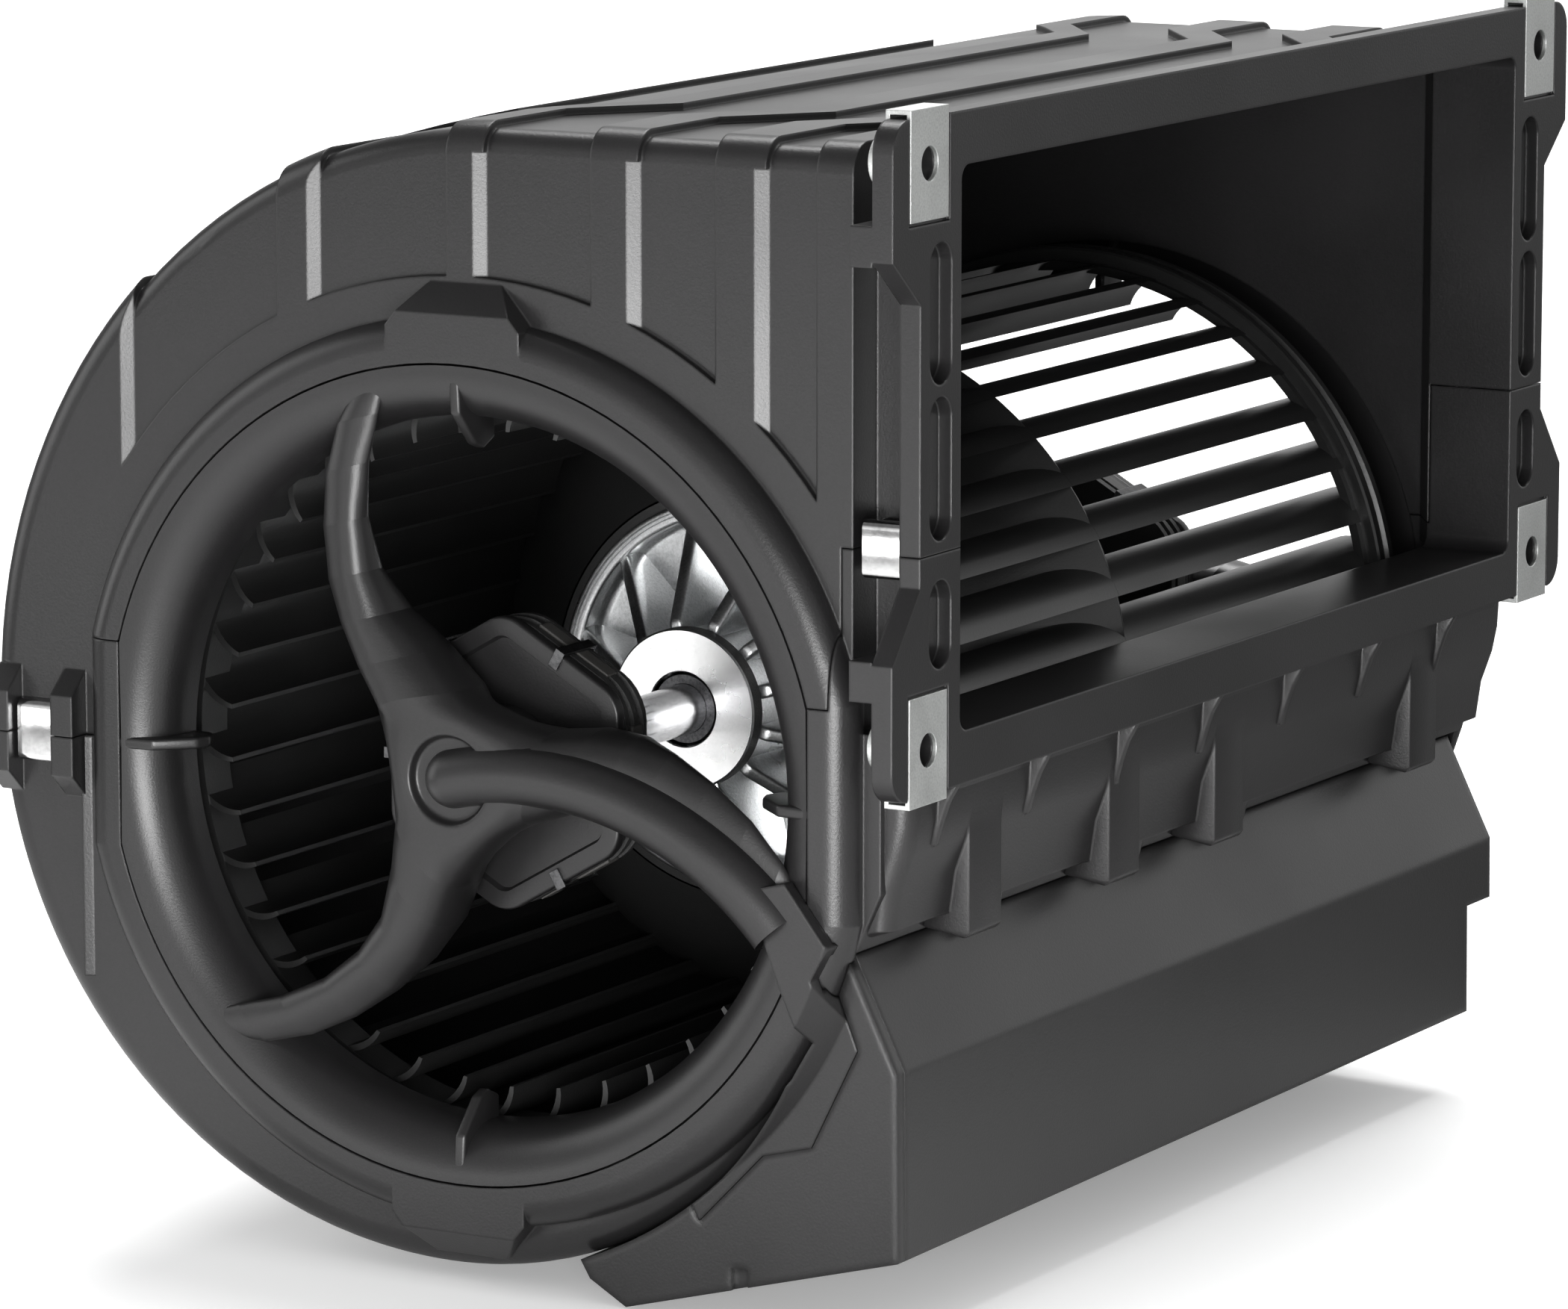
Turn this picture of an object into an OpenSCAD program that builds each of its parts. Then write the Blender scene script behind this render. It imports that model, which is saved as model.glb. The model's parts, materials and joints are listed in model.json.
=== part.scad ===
// Double-inlet centrifugal blower: a two-piece scroll housing with a bolted outlet flange,
// a forward-curved drum impeller on an external-rotor motor, and a control box under the outlet.
// The model is laid out about the fan axis, which runs along Y, and is then set so that the
// origin is the centre of the outlet's bolt pattern, with +X out of the outlet and +Z up.

/* [Scroll housing] */
// Width over the side walls
housing_w = 374; // [340:1:420]
// Radius of the smallest scroll quarter, outside
scroll_r = 125.2; // [122:0.1:135]
// Growth of the scroll over each quarter turn
scroll_step = 19; // [14:0.5:24]
// Wall of the housing mouldings
wall = 4; // [3.2:0.1:5]
// Rounding between scroll wall and side walls
edge_r = 8; // [6:0.5:12]
// Depth of the recessed panels in walls and roof
panel_depth = 2; // [1:0.1:2.4]
// Radius about the fan axis at which the side panels end
panel_r = 132; // [126:0.5:140]
// Sideways step of the roof bands
band_step = 20; // [10:1:30]
// Gap that shows at the parting lines
seam_gap = 0.3; // [0.2:0.05:0.5]

/* [Outlet] */
// Distance from the fan axis to the flange face
flange_x = 138; // [134:0.5:150]
// Height of the outlet's centre over the fan axis
outlet_z = 93.9; // [92:0.1:96]
// Clear width of the outlet
outlet_w = 342; // [320:1:344]
// Clear height of the outlet
outlet_h = 146; // [140:1:147]
// Width of the bolt pattern
bolt_w = 376; // [374:0.5:380]
// Height of the bolt pattern
bolt_h = 150; // [146:0.5:152]
// Bolt hole diameter
bolt_d = 9; // [7:0.1:10]
// Thickness of the flange plate
flange_t = 6; // [5:0.1:8]
// Material beside the bolt holes, out to the lug ends
lug_side = 19.2; // [16:0.1:24]
// Material over and under the bolt holes
lug_top = 11.9; // [10:0.1:16]

/* [Inlets] */
// Radius of the seam between rim and inlet nozzle
seam_r = 109.6; // [106:0.1:111]
// Outer radius of the raised rim
rim_r = 121.5; // [119:0.1:123]
// Height of the rim over the side wall
rim_h = 7.5; // [5:0.1:9]
// Radius of the nozzle throat
throat_r = 94.5; // [92:0.1:97]
// Wall of the nozzle
nozzle_t = 2.5; // [2:0.1:3.5]

/* [Motor support] */
// Axle diameter
axle_d = 14; // [12:0.5:16]
// Bulge of the support arms on their outer curve
arm_bulge = 26.5; // [22:0.5:30]
// Bulge of the support arms on their inner curve
arm_hollow = 12; // [8:0.5:14]
// Diameter of the half-round cable duct on one arm
duct_d = 16; // [12:0.5:20]
// Size of the hexagonal damper seat over its corners
seat_d = 82; // [74:0.5:90]
// Thickness of the rubber damper
damper_t = 11; // [8:0.5:14]

/* [Impeller] */
// Impeller diameter over the blades
impeller_d = 200; // [190:0.5:204]
// Length over both halves
impeller_w = 334; // [300:1:340]
// Blades in each half
blade_count = 38; // [30:1:44]
// Blade thickness
blade_t = 1.6; // [1:0.1:2.2]
// Radial depth of the blade ring
blade_depth = 11.5; // [9:0.5:13]
// Lean of the blade at its outer edge
blade_lean = 80; // [60:1:84]

/* [Motor] */
// Rotor diameter
rotor_d = 110; // [100:1:116]
// Distance between the outer faces of the rotor caps' rims
motor_w = 96; // [88:1:110]
// Height of the bearing bosses over the rims
cap_boss_h = 27; // [20:0.5:34]
// Bearing outside diameter
bearing_d = 34; // [30:0.5:38]
// Bearing width
bearing_w = 11; // [9:0.5:12]
// Gap between stator and magnets
air_gap = 0.7; // [0.5:0.1:1]

/* [Control box] */
// Height of the box's top edge below the fan axis
box_top = 37.6; // [36.5:0.1:40]
// Reach of the box's front face from the fan axis
box_x = 129.5; // [126:0.5:136]
// Height of its lower front edge below the fan axis
box_low = 116.8; // [112:0.1:124]
// Wall of the box
box_t = 2.5; // [2:0.1:3]

/* [Fasteners] */
// Width of the clip nuts
nut_w = 20; // [18:0.5:22]
// Sheet thickness of the clip nuts
nut_t = 1.2; // [0.8:0.1:1.5]
// Sheet thickness of the spring clips
clip_t = 1; // [0.7:0.1:1.2]

/* [Hidden] */
$fn = 96;

// Fits
slip = 0.05;
play = 0.3;

// Scroll: four quarters about the corners of a square, each one step larger than the last
half_step = scroll_step / 2;
// Side walls far enough out for the inlet nozzles to clear the impeller
nozzle_room = 20;
half_w = max(housing_w / 2, impeller_w / 2 + nozzle_room);
r_bottom = scroll_r;
r_back = scroll_r + scroll_step;
r_top = scroll_r + 2 * scroll_step;
roof_z = half_step + r_top;
end_shy = 0.2;
side_end = scroll_r - half_step - end_shy;
rise = 12;
panels = [[-105.9, -58.9], [-46, -6], [5.5, 37.8], [52, 75], [90, 104.8]];
panel_chamfer = 3.5;
band_in = 118;
band_out = 145;
room = 400;

// Parting lines of the housing: at the back, across the rims and at the neck
seam_back_z = 0;
seam_rim_z = 28;
seam_neck_z = 69;
seam_neck_x = 112;

// Outlet neck and flange
neck_wall = 3.5;
neck_w = outlet_w + 2 * neck_wall;
flange_w = bolt_w + 2 * lug_side;
flange_h = bolt_h + 2 * lug_top;
waist_w = 385;
lug_round = 8;
upper_slant = [51.5, 39.3];
lower_slant = [50.9, 32.9];
flange_back = flange_x - flange_t;
floor_z = outlet_z - outlet_h / 2;
flange_low = outlet_z - flange_h / 2;
slot_w = 12;
slot_spans = [[-54.9, -31.9], [-21.9, 15.1], [18.1, 54.6]];
slot_depth = 4;
lug_block = 6.5;
block_h = 10.5;
block_bite = 2;
outlet_round = 4;
outlet_from = seam_neck_x - 12;

// Wall below the outlet
cheek_run = 8;
overlap = 0.5;
cutoff_in = side_end - 12;
cutoff_gap = 1.1;
cutoff = [[flange_back + overlap, flange_low + 2], [flange_x - 9.5, -9],
    [flange_x - 22, cutoff_gap - box_top]];
cutoff_half = half_w - 1;
rib_places = [-124, -42, 23, 150];
rib_w = 17;
rib_foot = [3.4, -4];
rib_back = [1.2, -4];
gusset_t = 2.5;
gusset_pitch = 51;
gusset_count = 7;
gusset_shift = -16;
gusset_end = 3;

// Inlets
rim_face = half_w + rim_h;
rim_flat = rim_r - 3.5;
seam_flat = seam_r - 3.6;
rim_lug_top = 11;
rim_lug_foot = 20.5;
rim_lug_z = rim_r - 2.5;
rim_lug_in = rim_r - 15;
lug_z = rim_r + 8.8;
ledge = 1.5;
ledge_r = seam_r - 5.6;
bell_r = seam_r - throat_r;
throat_y = rim_face - bell_r;
nozzle_end = throat_y - 5;
nozzle_seat = 4;
nozzle_shy = 0.5;
fin_t = 2;
fin_root = throat_r + 1;
fin_top = throat_r + 9;
fin_tip = throat_r - 8.5;
fin_ends = throat_r - 6;
fin_from = rim_face - 1.2;
fin_run = 5;

// Motor support: arms with a bulged and a hollow edge, deep at the hub and thin at their tips
near_arms = [104.5, 224.5, 344.5];
far_arms = [156, 336];
arm_len = seam_r - 1;
arm_steps = 8;
arm_out_from = 0.36;
arm_in_from = 0.5;
hub_pull_out = 22;
hub_pull_in = 28;
// Rear edge of the arms: radius, and depth behind the rim's face
arm_rear = [[26, 22.5], [43, 19.5], [54, 11.5], [76, 4.5], [arm_len, 2]];
arm_root = 39;
arm_drop = 0.2;
arm_crown = 2;
hub_r = 25;
hub_disc = 20;
hub_front = rim_face + 3.5;
cable_hole_r = 6;
stem_r = 16;
// Hexagonal seat, the rubber behind it and what holds the two together
seat_y = rim_face - 24.5;
seat_t = 4;
seat_back = seat_y - seat_t;
seat_round = seat_d / 2 - 2.5;
seat_flat = seat_d / 2 * cos(30);
damper_back = seat_back - damper_t;
axle_end = seat_back + 2;
axle_room = 1.5;
strip_len = 24;
strip_w = 5;
strip_t = 2;
strip_proud = 0.5;
strap_w = 3;
strap_t = 0.8;
strap_tab = 4;
// Half-round duct for the motor's cable
duct_bend = 100;
duct_lift = 13.3;
duct_turn = 60;
duct_sink = 2;
duct_side = 1.5;
duct_base = rim_face - duct_sink;
duct_mid = duct_base + duct_side;
duct_wall = 2;
duct_boss_r = 11.5;
boss_sink = 1;
boss_rise = 3;

// Impeller: two halves, each a domed disc with a drum of blades and an end ring
blade_out = impeller_d / 2;
blade_in = blade_out - blade_depth;
half_len = impeller_w / 2;
ring_r = blade_out + 4.5;
ring_w = 10;
dome_t = 2.5;
dome_top = motor_w / 2 - 2;
dome_low = rotor_d / 2 + 2.5;
// Circle through the disc's rim and the edge of its motor seat
dome_bulge = 5.4;
dome_chord = sqrt(pow(blade_out - dome_low, 2) + pow(dome_top, 2));
dome_r = (pow(dome_chord / 2, 2) + pow(dome_bulge, 2)) / (2 * dome_bulge);
dome_dir = [dome_top, blade_out - dome_low] / dome_chord;
dome_c = [(blade_out + dome_low) / 2, dome_top / 2] - (dome_r - dome_bulge) * dome_dir;
dome_steps = 8;
dome_from = atan2(-dome_c[1], blade_out - dome_c[0]);
dome_to = atan2(dome_top - dome_c[1], dome_low - dome_c[0]);
seat_w = 7;
seat_lip = 0.5;
ring_bite = 0.8;
blade_arc = blade_depth / sin(blade_lean);
blade_steps = 6;

// Motor
axle_r = axle_d / 2;
axle_bore = 4;
rotor_r = rotor_d / 2;
cap_y = motor_w / 2;
cap_rim = 5;
cap_depth = 9;
cap_web = 3;
cap_boss_t = 5.5;
cap_boss_r = bearing_d / 2 + cap_boss_t;
cap_hole_r = 10.5;
cap_lip = 1;
cap_ribs = 12;
cap_rib_t = 4;
cap_top = cap_y + cap_boss_h;
cap_step = 1.5;
cap_rib_top = 6;
bearing_y = cap_top - cap_lip - bearing_w;
web_y = cap_y - cap_depth - cap_web;
yoke_t = 6;
magnet_t = 4.5;
magnet_count = 8;
magnet_r = rotor_r - yoke_t - slip;
magnet_half = 26;
magnet_span = 40;
stator_r = magnet_r - magnet_t - air_gap;
stator_half = 20;
stator_teeth = 12;
tooth_w = 6;
stator_hub = 18;
shoe_t = 3.5;
shoe_span = 24;
coil_t = 2.2;
coil_in = 21.5;
coil_room = 0.6;
coil_len = stator_r - shoe_t - coil_room - coil_in;
coil_over = 7;
winding_half = stator_half + coil_over;
ball_count = 8;
ball_r = 3.2;
ring_gap = 2.4;
circlip_t = 1.2;
circlip_w = 2.5;
groove = 0.6;
circlip_shy = 0.1;
circlip_gap = 3;

// Control box
box_kink = [box_x - 0.5, -67];
box_front = [box_x, -box_low];
box_tail = [48, -138.4];
box_tip = [37, -132];
box_back = [[31, -122], [60, -70], [80, -box_top]];
box_bend = [box_kink[0] - 14.4, -box_top];
box_near = half_w + 1;
box_far_top = half_w - 6;
box_far_low = half_w - 22;
box_far_z = -85;
box_cover_t = 2.5;
notch = [80, -box_low - 15];
notch_size = [5, 8];
cover_front = rim_face + 4.5;
cover_sheet = 1.7;
cover_edge = [[94, -19.5], [102, -17.5], [114.5, -33.5], [109.7, -42.3], [117.5, -61.8], [103.9, -89],
    [89.4, -92.7], [70.3, -112.3], [66.5, -104.8], [84.8, -88.9], [100.8, -70.3], [107.2, -59.8],
    [100.5, -45], [95.5, -32]];
cover_in = 60;
cover_slope = [-3, 5];
board_x = box_x - box_t - 6;
board_t = 1.6;
board_span = [-150, 140];
board_z = [-112, -72];
board_seat_r = 4;
board_seat_in = [8, 6];
part_h = 18;
tall_r = 9;
tall_pitch = 24;
tall_from = 40;
sink_size = [60, 28];
sink_at = [130, 6];
sink_base = 4;
sink_slots = 6;
sink_slot_w = 5;
sink_pitch = 9;
plug_size = [44, 12];
plug_at = [60, 8];

// Fasteners
bolt_y = bolt_w / 2;
nut_in = 14.4;
nut_over = 1;
nut_room = 1;
nut_r = 6.5;
nut_len = 7;
clip_stand = 3;
clip_shy = 0.5;
ear_t = 7;
ear_h = 7;
ear_top = 11;
ear_foot = 17.5;
ear_gap = 1;
clip_spots = [[-136, seam_back_z, half_w, 12, 17], [123.7, seam_neck_z, neck_w / 2 + 9, 10.8, 15]];

// A side view, X across and Z up, stretched along the fan axis to both sides
module along_y(w) {
    rotate([90, 0, 0])
        linear_extrude(w, center = true)
            children();
}

// A side view stretched from one distance to another on the near side
module near_slab(from, to) {
    rotate([90, 0, 0])
        translate([0, 0, from])
            linear_extrude(to - from)
                children();
}

// A front view, Y across and Z up, stretched from x0 to x1
module along_x(x0, x1) {
    translate([x0, 0, 0])
        rotate([90, 0, 90])
            linear_extrude(x1 - x0)
                children();
}

// A half section, radius across and distance to the near side up, turned about the fan axis
module turned() {
    rotate([90, 0, 0])
        rotate_extrude()
            children();
}

module both_sides() {
    children();
    mirror([0, 1, 0])
        children();
}

// Half section of the scroll from its centre to its wall, with rounded corners
module edge_section(r, inset) {
    half = half_w - inset;
    f = edge_r - inset;
    translate([0, -half])
        square([r - f, 2 * half]);
    translate([0, f - half])
        square([r, 2 * (half - f)]);
    for (side = [-1, 1])
        translate([r - f, side * (half - f)])
            circle(f);
}

module scroll_quarter(centre, r, from, sweep, inset) {
    translate([centre[0], 0, centre[1]])
        rotate([90, 0, 0])
            rotate([0, 0, from])
                rotate_extrude(angle = sweep)
                    edge_section(r - inset, inset);
}

module roof_section(inset) {
    half = half_w - inset;
    f = edge_r - inset;
    top = roof_z - inset;
    translate([-half, half_step])
        square([2 * half, top - f - half_step]);
    translate([f - half, half_step])
        square([2 * (half - f), top - half_step]);
    for (side = [-1, 1])
        translate([side * (half - f), top - f])
            circle(f);
}

// The scroll as a solid, drawn in from its outside by the inset
module scroll_body(inset) {
    scroll_quarter([-half_step, -half_step], r_bottom, -90, 90 + rise, inset);
    scroll_quarter([-half_step, half_step], r_back, 180, 90, inset);
    scroll_quarter([half_step, half_step], r_top, 90, 90, inset);
    along_x(half_step, side_end - inset)
        roof_section(inset);
}

// Recessed panels on the side walls that run over the edge into bands across the roof
module panel_plan(span) {
    for (side = [0, 1])
        mirror([0, side])
            polygon([[span[0], -half_w - 1], [span[0], -band_out], [span[0] + band_step, -band_in],
                [span[0] + band_step, 0], [span[1] + band_step, 0], [span[1] + band_step, -band_in],
                [span[1], -band_out], [span[1], -half_w - 1]]);
}

module panel_cuts() {
    difference() {
        union() {
            for (span = panels)
                linear_extrude(roof_z + 1)
                    panel_plan(span);
        }
        along_y(room)
            circle(panel_r);
        scroll_body(panel_depth);
    }
    both_sides()
        difference() {
            for (span = panels)
                linear_extrude(roof_z - edge_r)
                    polygon([[span[0] - panel_chamfer, -half_w - 1], [span[0] - panel_chamfer, -half_w],
                        [span[0], panel_depth - half_w], [span[0] + 1, panel_depth - half_w],
                        [span[0] + 1, -half_w - 1]]);
            along_y(room)
                circle(panel_r);
        }
}

// Raised rim round one inlet, as a plateau grown by g all round
module rim_section(r, g) {
    intersection() {
        union() {
            translate([0, half_w - wall / 2])
                square([r - rim_h, rim_h + wall / 2 + g]);
            translate([r - rim_h, half_w])
                circle(rim_h + g);
        }
        translate([0, half_w - wall / 2])
            square(room);
    }
}

module rim_plateau(g) {
    intersection() {
        turned()
            rim_section(rim_r, g);
        linear_extrude(room, center = true)
            mirror([0, 1])
                for (side = [0, 1])
                    mirror([side, 0])
                        rim_section(rim_flat, g);
    }
    for (side = [0, 1])
        mirror([0, 0, side])
            intersection() {
                near_slab(half_w - wall / 2, rim_face + g)
                    polygon([[-rim_lug_foot, rim_lug_in], [-rim_lug_foot, rim_lug_z], [-rim_lug_top, lug_z],
                        [rim_lug_top, lug_z], [rim_lug_foot, rim_lug_z], [rim_lug_foot, rim_lug_in]]);
                along_x(-room / 2, room / 2)
                    polygon([[wall - half_w, rim_lug_in - 1], [wall - half_w, lug_z], [-half_w, lug_z],
                        [-rim_face - g, lug_z - rim_h], [-rim_face - g, rim_lug_in - 1]]);
            }
}

module seam_outline(r, flat) {
    intersection() {
        circle(r);
        square([2 * flat, room], center = true);
    }
}

module inlet_hole() {
    near_slab(half_w - ledge, room)
        seam_outline(seam_r + seam_gap, seam_flat + seam_gap);
    near_slab(half_w - 2 * wall, room)
        circle(ledge_r);
}

module rounded_rect(w, h, r) {
    square([w - 2 * r, h], center = true);
    square([w, h - 2 * r], center = true);
    for (x = [-1, 1], y = [-1, 1])
        translate([x * (w / 2 - r), y * (h / 2 - r)])
            circle(r);
}

// Outline of the flange about the outlet's centre, with a lug at each corner
module lug_outline(slant) {
    y_end = flange_w / 2;
    z_end = flange_h / 2;
    polygon([[waist_w / 2 - lug_round, z_end], [y_end - lug_round, z_end], [y_end, z_end - lug_round],
        [y_end, slant[0]], [waist_w / 2, slant[1]], [waist_w / 2 - lug_round, slant[1]]]);
    translate([y_end - lug_round, z_end - lug_round])
        circle(lug_round);
}

module flange_outline() {
    square([waist_w, flange_h], center = true);
    for (side = [0, 1])
        mirror([side, 0]) {
            lug_outline(upper_slant);
            mirror([0, 1])
                lug_outline(lower_slant);
        }
}

module four_corners() {
    for (y = [0, 1], z = [0, 1])
        mirror([y, 0])
            mirror([0, z])
                children();
}

module slot_outline(span) {
    r = slot_w / 2;
    translate([-r, span[0] + r])
        square([slot_w, span[1] - span[0] - slot_w]);
    for (z = [span[0] + r, span[1] - r])
        translate([0, z])
            circle(r);
}

module flange() {
    translate([0, 0, outlet_z])
        difference() {
            union() {
                along_x(flange_back, flange_x)
                    flange_outline();
                along_x(flange_back - lug_block, flange_back)
                    four_corners()
                        translate([waist_w / 2 - block_bite, bolt_h / 2 - nut_in - block_h - slip])
                            square([flange_w / 2 - waist_w / 2 + block_bite, block_h]);
            }
            along_x(flange_back - room, flange_x + 1)
                four_corners()
                    translate([bolt_y, bolt_h / 2])
                        circle(d = bolt_d);
            along_x(flange_x - nut_t - slip, flange_x + 1)
                four_corners()
                    translate([bolt_y - nut_w / 2 - nut_room, bolt_h / 2 - nut_in - nut_room])
                        square([nut_w + 2 * nut_room, room]);
            for (span = slot_spans, side = [0, 1])
                along_x(flange_x - slot_depth, flange_x + 1)
                    mirror([side, 0])
                        translate([(outlet_w / 2 + waist_w / 2) / 2, 0])
                            slot_outline(span);
        }
}

// The neck between the scroll and the flange, with the seats of the spring clips
module neck() {
    along_x(side_end - wall, flange_back + 1)
        translate([-neck_w / 2, floor_z - neck_wall])
            square([neck_w, roof_z - floor_z + neck_wall]);
    for (spot = clip_spots)
        both_sides()
            clip_seat(spot);
}

// Ears and ledges that carry one spring clip across the parting line
module clip_seat(spot) {
    x = spot[0];
    z = spot[1];
    base = x < 0 ? half_w - wall : neck_w / 2 - 1;
    face = spot[2] + clip_stand;
    half = spot[4] / 2 - clip_t - slip;
    near_slab(base, face)
        translate([x - spot[3] / 2 + clip_shy, z - half])
            square([spot[3] - 2 * clip_shy, 2 * half]);
    if (x < 0)
        for (side = [-1, 1])
            translate([x + side * (spot[3] + ear_t + 2 * ear_gap) / 2, 0, z])
                along_x(-ear_t / 2, ear_t / 2)
                    polygon([[-base, -ear_foot], [-half_w, -ear_foot], [-half_w - ear_h, -ear_top],
                        [-half_w - ear_h, ear_top], [-half_w, ear_foot], [-base, ear_foot]]);
}

module air_space() {
    scroll_body(wall);
    along_x(outlet_from, flange_x + 1)
        translate([0, outlet_z])
            rounded_rect(outlet_w, outlet_h, outlet_round);
    along_y(2 * (half_w - wall))
        intersection() {
            translate([-half_step, -half_step])
                circle(scroll_r - wall);
            translate([-half_step, -half_step])
                square([room, floor_z + half_step + wall]);
        }
}

// Slanting cheeks inside, from the side walls to the narrower neck
module cheeks() {
    both_sides()
        translate([0, 0, floor_z - overlap])
            linear_extrude(roof_z - wall - floor_z + 2 * overlap)
                polygon([[side_end - wall - cheek_run, wall - half_w - overlap],
                    [side_end - wall + overlap, wall - half_w - overlap],
                    [side_end - wall + overlap, -outlet_w / 2], [side_end - wall, -outlet_w / 2]]);
}

// Closed wall below the outlet, hollow behind, with wide ribs and thin gussets
module cutoff_wall() {
    difference() {
        along_y(2 * cutoff_half)
            polygon(concat([[cutoff_in, floor_z], [flange_back + overlap, floor_z]], cutoff,
                [[cutoff_in, cutoff[2][1]]]));
        along_y(2 * (cutoff_half - wall))
            difference() {
                polygon(concat([[side_end - wall, floor_z - neck_wall]],
                    [[cutoff[0][0] - wall, floor_z - neck_wall]], [for (p = cutoff) p - [wall, 0]]));
                translate([-half_step, -half_step])
                    circle(scroll_r);
            }
    }
    for (y = rib_places)
        translate([0, y, 0])
            along_y(rib_w)
                polygon([cutoff[1] - [overlap, 0], cutoff[2] + rib_foot, cutoff[2] + rib_back,
                    cutoff[2] + [-overlap, overlap], cutoff[1] - [wall - overlap, 0]]);
    for (i = [0:gusset_count - 1])
        translate([0, (i - (gusset_count - 1) / 2) * gusset_pitch + gusset_shift, 0])
            along_y(gusset_t)
                polygon([[flange_x - 1, flange_low + 1], cutoff[1] + [-overlap, gusset_end],
                    cutoff[1] + [overlap - wall, gusset_end], [flange_back - wall + overlap, flange_low + 1]]);
}

// Room behind the flange for the clip nuts' rear legs and barrels
module nut_rooms() {
    translate([0, 0, outlet_z])
        along_x(flange_back - nut_t - nut_len - 2 * play, flange_back)
            four_corners()
                translate([bolt_y - nut_w / 2 - nut_room, bolt_h / 2 - nut_in / 2 - nut_room])
                    square([nut_w + 2 * nut_room, room]);
}

module whole_housing() {
    difference() {
        union() {
            difference() {
                scroll_body(0);
                panel_cuts();
            }
            neck();
            flange();
            cutoff_wall();
            both_sides()
                rim_plateau(0);
        }
        difference() {
            air_space();
            cheeks();
        }
        nut_rooms();
        both_sides()
            inlet_hole();
    }
}

module upper_zone(drop) {
    along_y(room * 2)
        polygon([[-room, seam_back_z - drop], [-rim_flat - 1, seam_back_z - drop],
            [-rim_flat - 1, seam_rim_z - drop], [seam_neck_x + drop, seam_rim_z - drop],
            [seam_neck_x + drop, seam_neck_z - drop], [room, seam_neck_z - drop],
            [room, room], [-room, room]]);
}

module upper_housing() {
    color([0.24, 0.24, 0.235])
        intersection() {
            whole_housing();
            upper_zone(0);
        }
}

module lower_housing() {
    color([0.23, 0.23, 0.225])
        difference() {
            whole_housing();
            upper_zone(seam_gap);
        }
}

// Inlet nozzle: a bell mouth with a seat ring outside, four guide fins and curved arms
module nozzle() {
    intersection() {
        turned() {
            intersection() {
                difference() {
                    translate([seam_r, throat_y])
                        circle(bell_r);
                    translate([seam_r, throat_y])
                        circle(bell_r - nozzle_t);
                }
                translate([0, throat_y])
                    square([seam_r, room]);
            }
            translate([throat_r, nozzle_end])
                square([nozzle_t, throat_y - nozzle_end]);
            translate([seam_r - nozzle_seat, half_w - ledge])
                square([nozzle_seat, rim_face - half_w + ledge - nozzle_shy]);
        }
        near_slab(nozzle_end - 1, room)
            seam_outline(seam_r, seam_flat);
    }
}

module nozzle_fins() {
    for (turn = [0:90:270])
        rotate([0, turn, 0])
            along_x(-fin_t / 2, fin_t / 2)
                polygon([[-fin_from, fin_top], [fin_run - fin_from, fin_top], [-nozzle_end, fin_root],
                    [-nozzle_end, fin_ends], [-throat_y, fin_tip], [-throat_y - fin_run, fin_ends]]);
}

// Edges of one arm in its own frame, by the share of its length from the hub
function arm_edge(bulge, share) = [arm_len * share, 4 * bulge * share * (1 - share)];
function arm_run(bulge, share) = unit([1, 4 * bulge / arm_len * (1 - 2 * share)]);
function about_hub(p, turn) = [p[0] * cos(turn) - p[1] * sin(turn), p[0] * sin(turn) + p[1] * cos(turn)];
function between(from, to, i) = from + (to - from) * i / arm_steps;
function eased(p, t) =
    pow(1 - t, 3) * p[0] + 3 * t * pow(1 - t, 2) * p[1] + 3 * t * t * (1 - t) * p[2] + pow(t, 3) * p[3];
// Handles of the soft corner from one arm's bulged edge to the next arm's hollow edge
function hub_corner(next) =
    let (a = arm_edge(arm_bulge, arm_out_from), b = arm_edge(arm_hollow, arm_in_from))
    [a, a - hub_pull_out * arm_run(arm_bulge, arm_out_from),
        about_hub(b - hub_pull_in * arm_run(arm_hollow, arm_in_from), next), about_hub(b, next)];
function arm_points(next) = concat(
    [for (i = [0:arm_steps - 1]) arm_edge(arm_hollow, between(arm_in_from, 1, i))],
    [for (i = [0:arm_steps - 1]) arm_edge(arm_bulge, between(1, arm_out_from, i))],
    [for (i = [0:arm_steps - 1]) eased(hub_corner(next), i / arm_steps)]);

module spider_outline(arms) {
    polygon([for (turn = arms, p = arm_points(arms[1] - arms[0])) about_hub(p, turn)]);
    circle(hub_disc);
}

module hexagon(grow) {
    intersection() {
        rotate(30)
            circle(seat_d / 2 + grow, $fn = 6);
        circle(seat_round + grow);
    }
}

module spider(arms) {
    intersection() {
        near_slab(seat_y, hub_front)
            spider_outline(arms);
        turned()
            polygon(concat([[0, hub_front], [0, seat_y], [stem_r, seat_y]],
                [for (p = arm_rear) [p[0], rim_face - p[1]]],
                [[arm_len, rim_face - arm_drop], [arm_root, rim_face + arm_crown], [hub_r, hub_front]]));
    }
    near_slab(seat_back, hub_front - boss_rise)
        circle(stem_r);
    near_slab(seat_back, seat_y)
        hexagon(0);
}

// Half-round duct on one arm, bending from the hub down to the rim
module duct_section(r, grow) {
    translate([-r - grow, duct_base - grow])
        square([2 * (r + grow), duct_mid - duct_base + grow]);
    intersection() {
        translate([0, duct_mid])
            circle(r + grow);
        translate([-room / 2, duct_mid - grow])
            square(room);
    }
}

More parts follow.
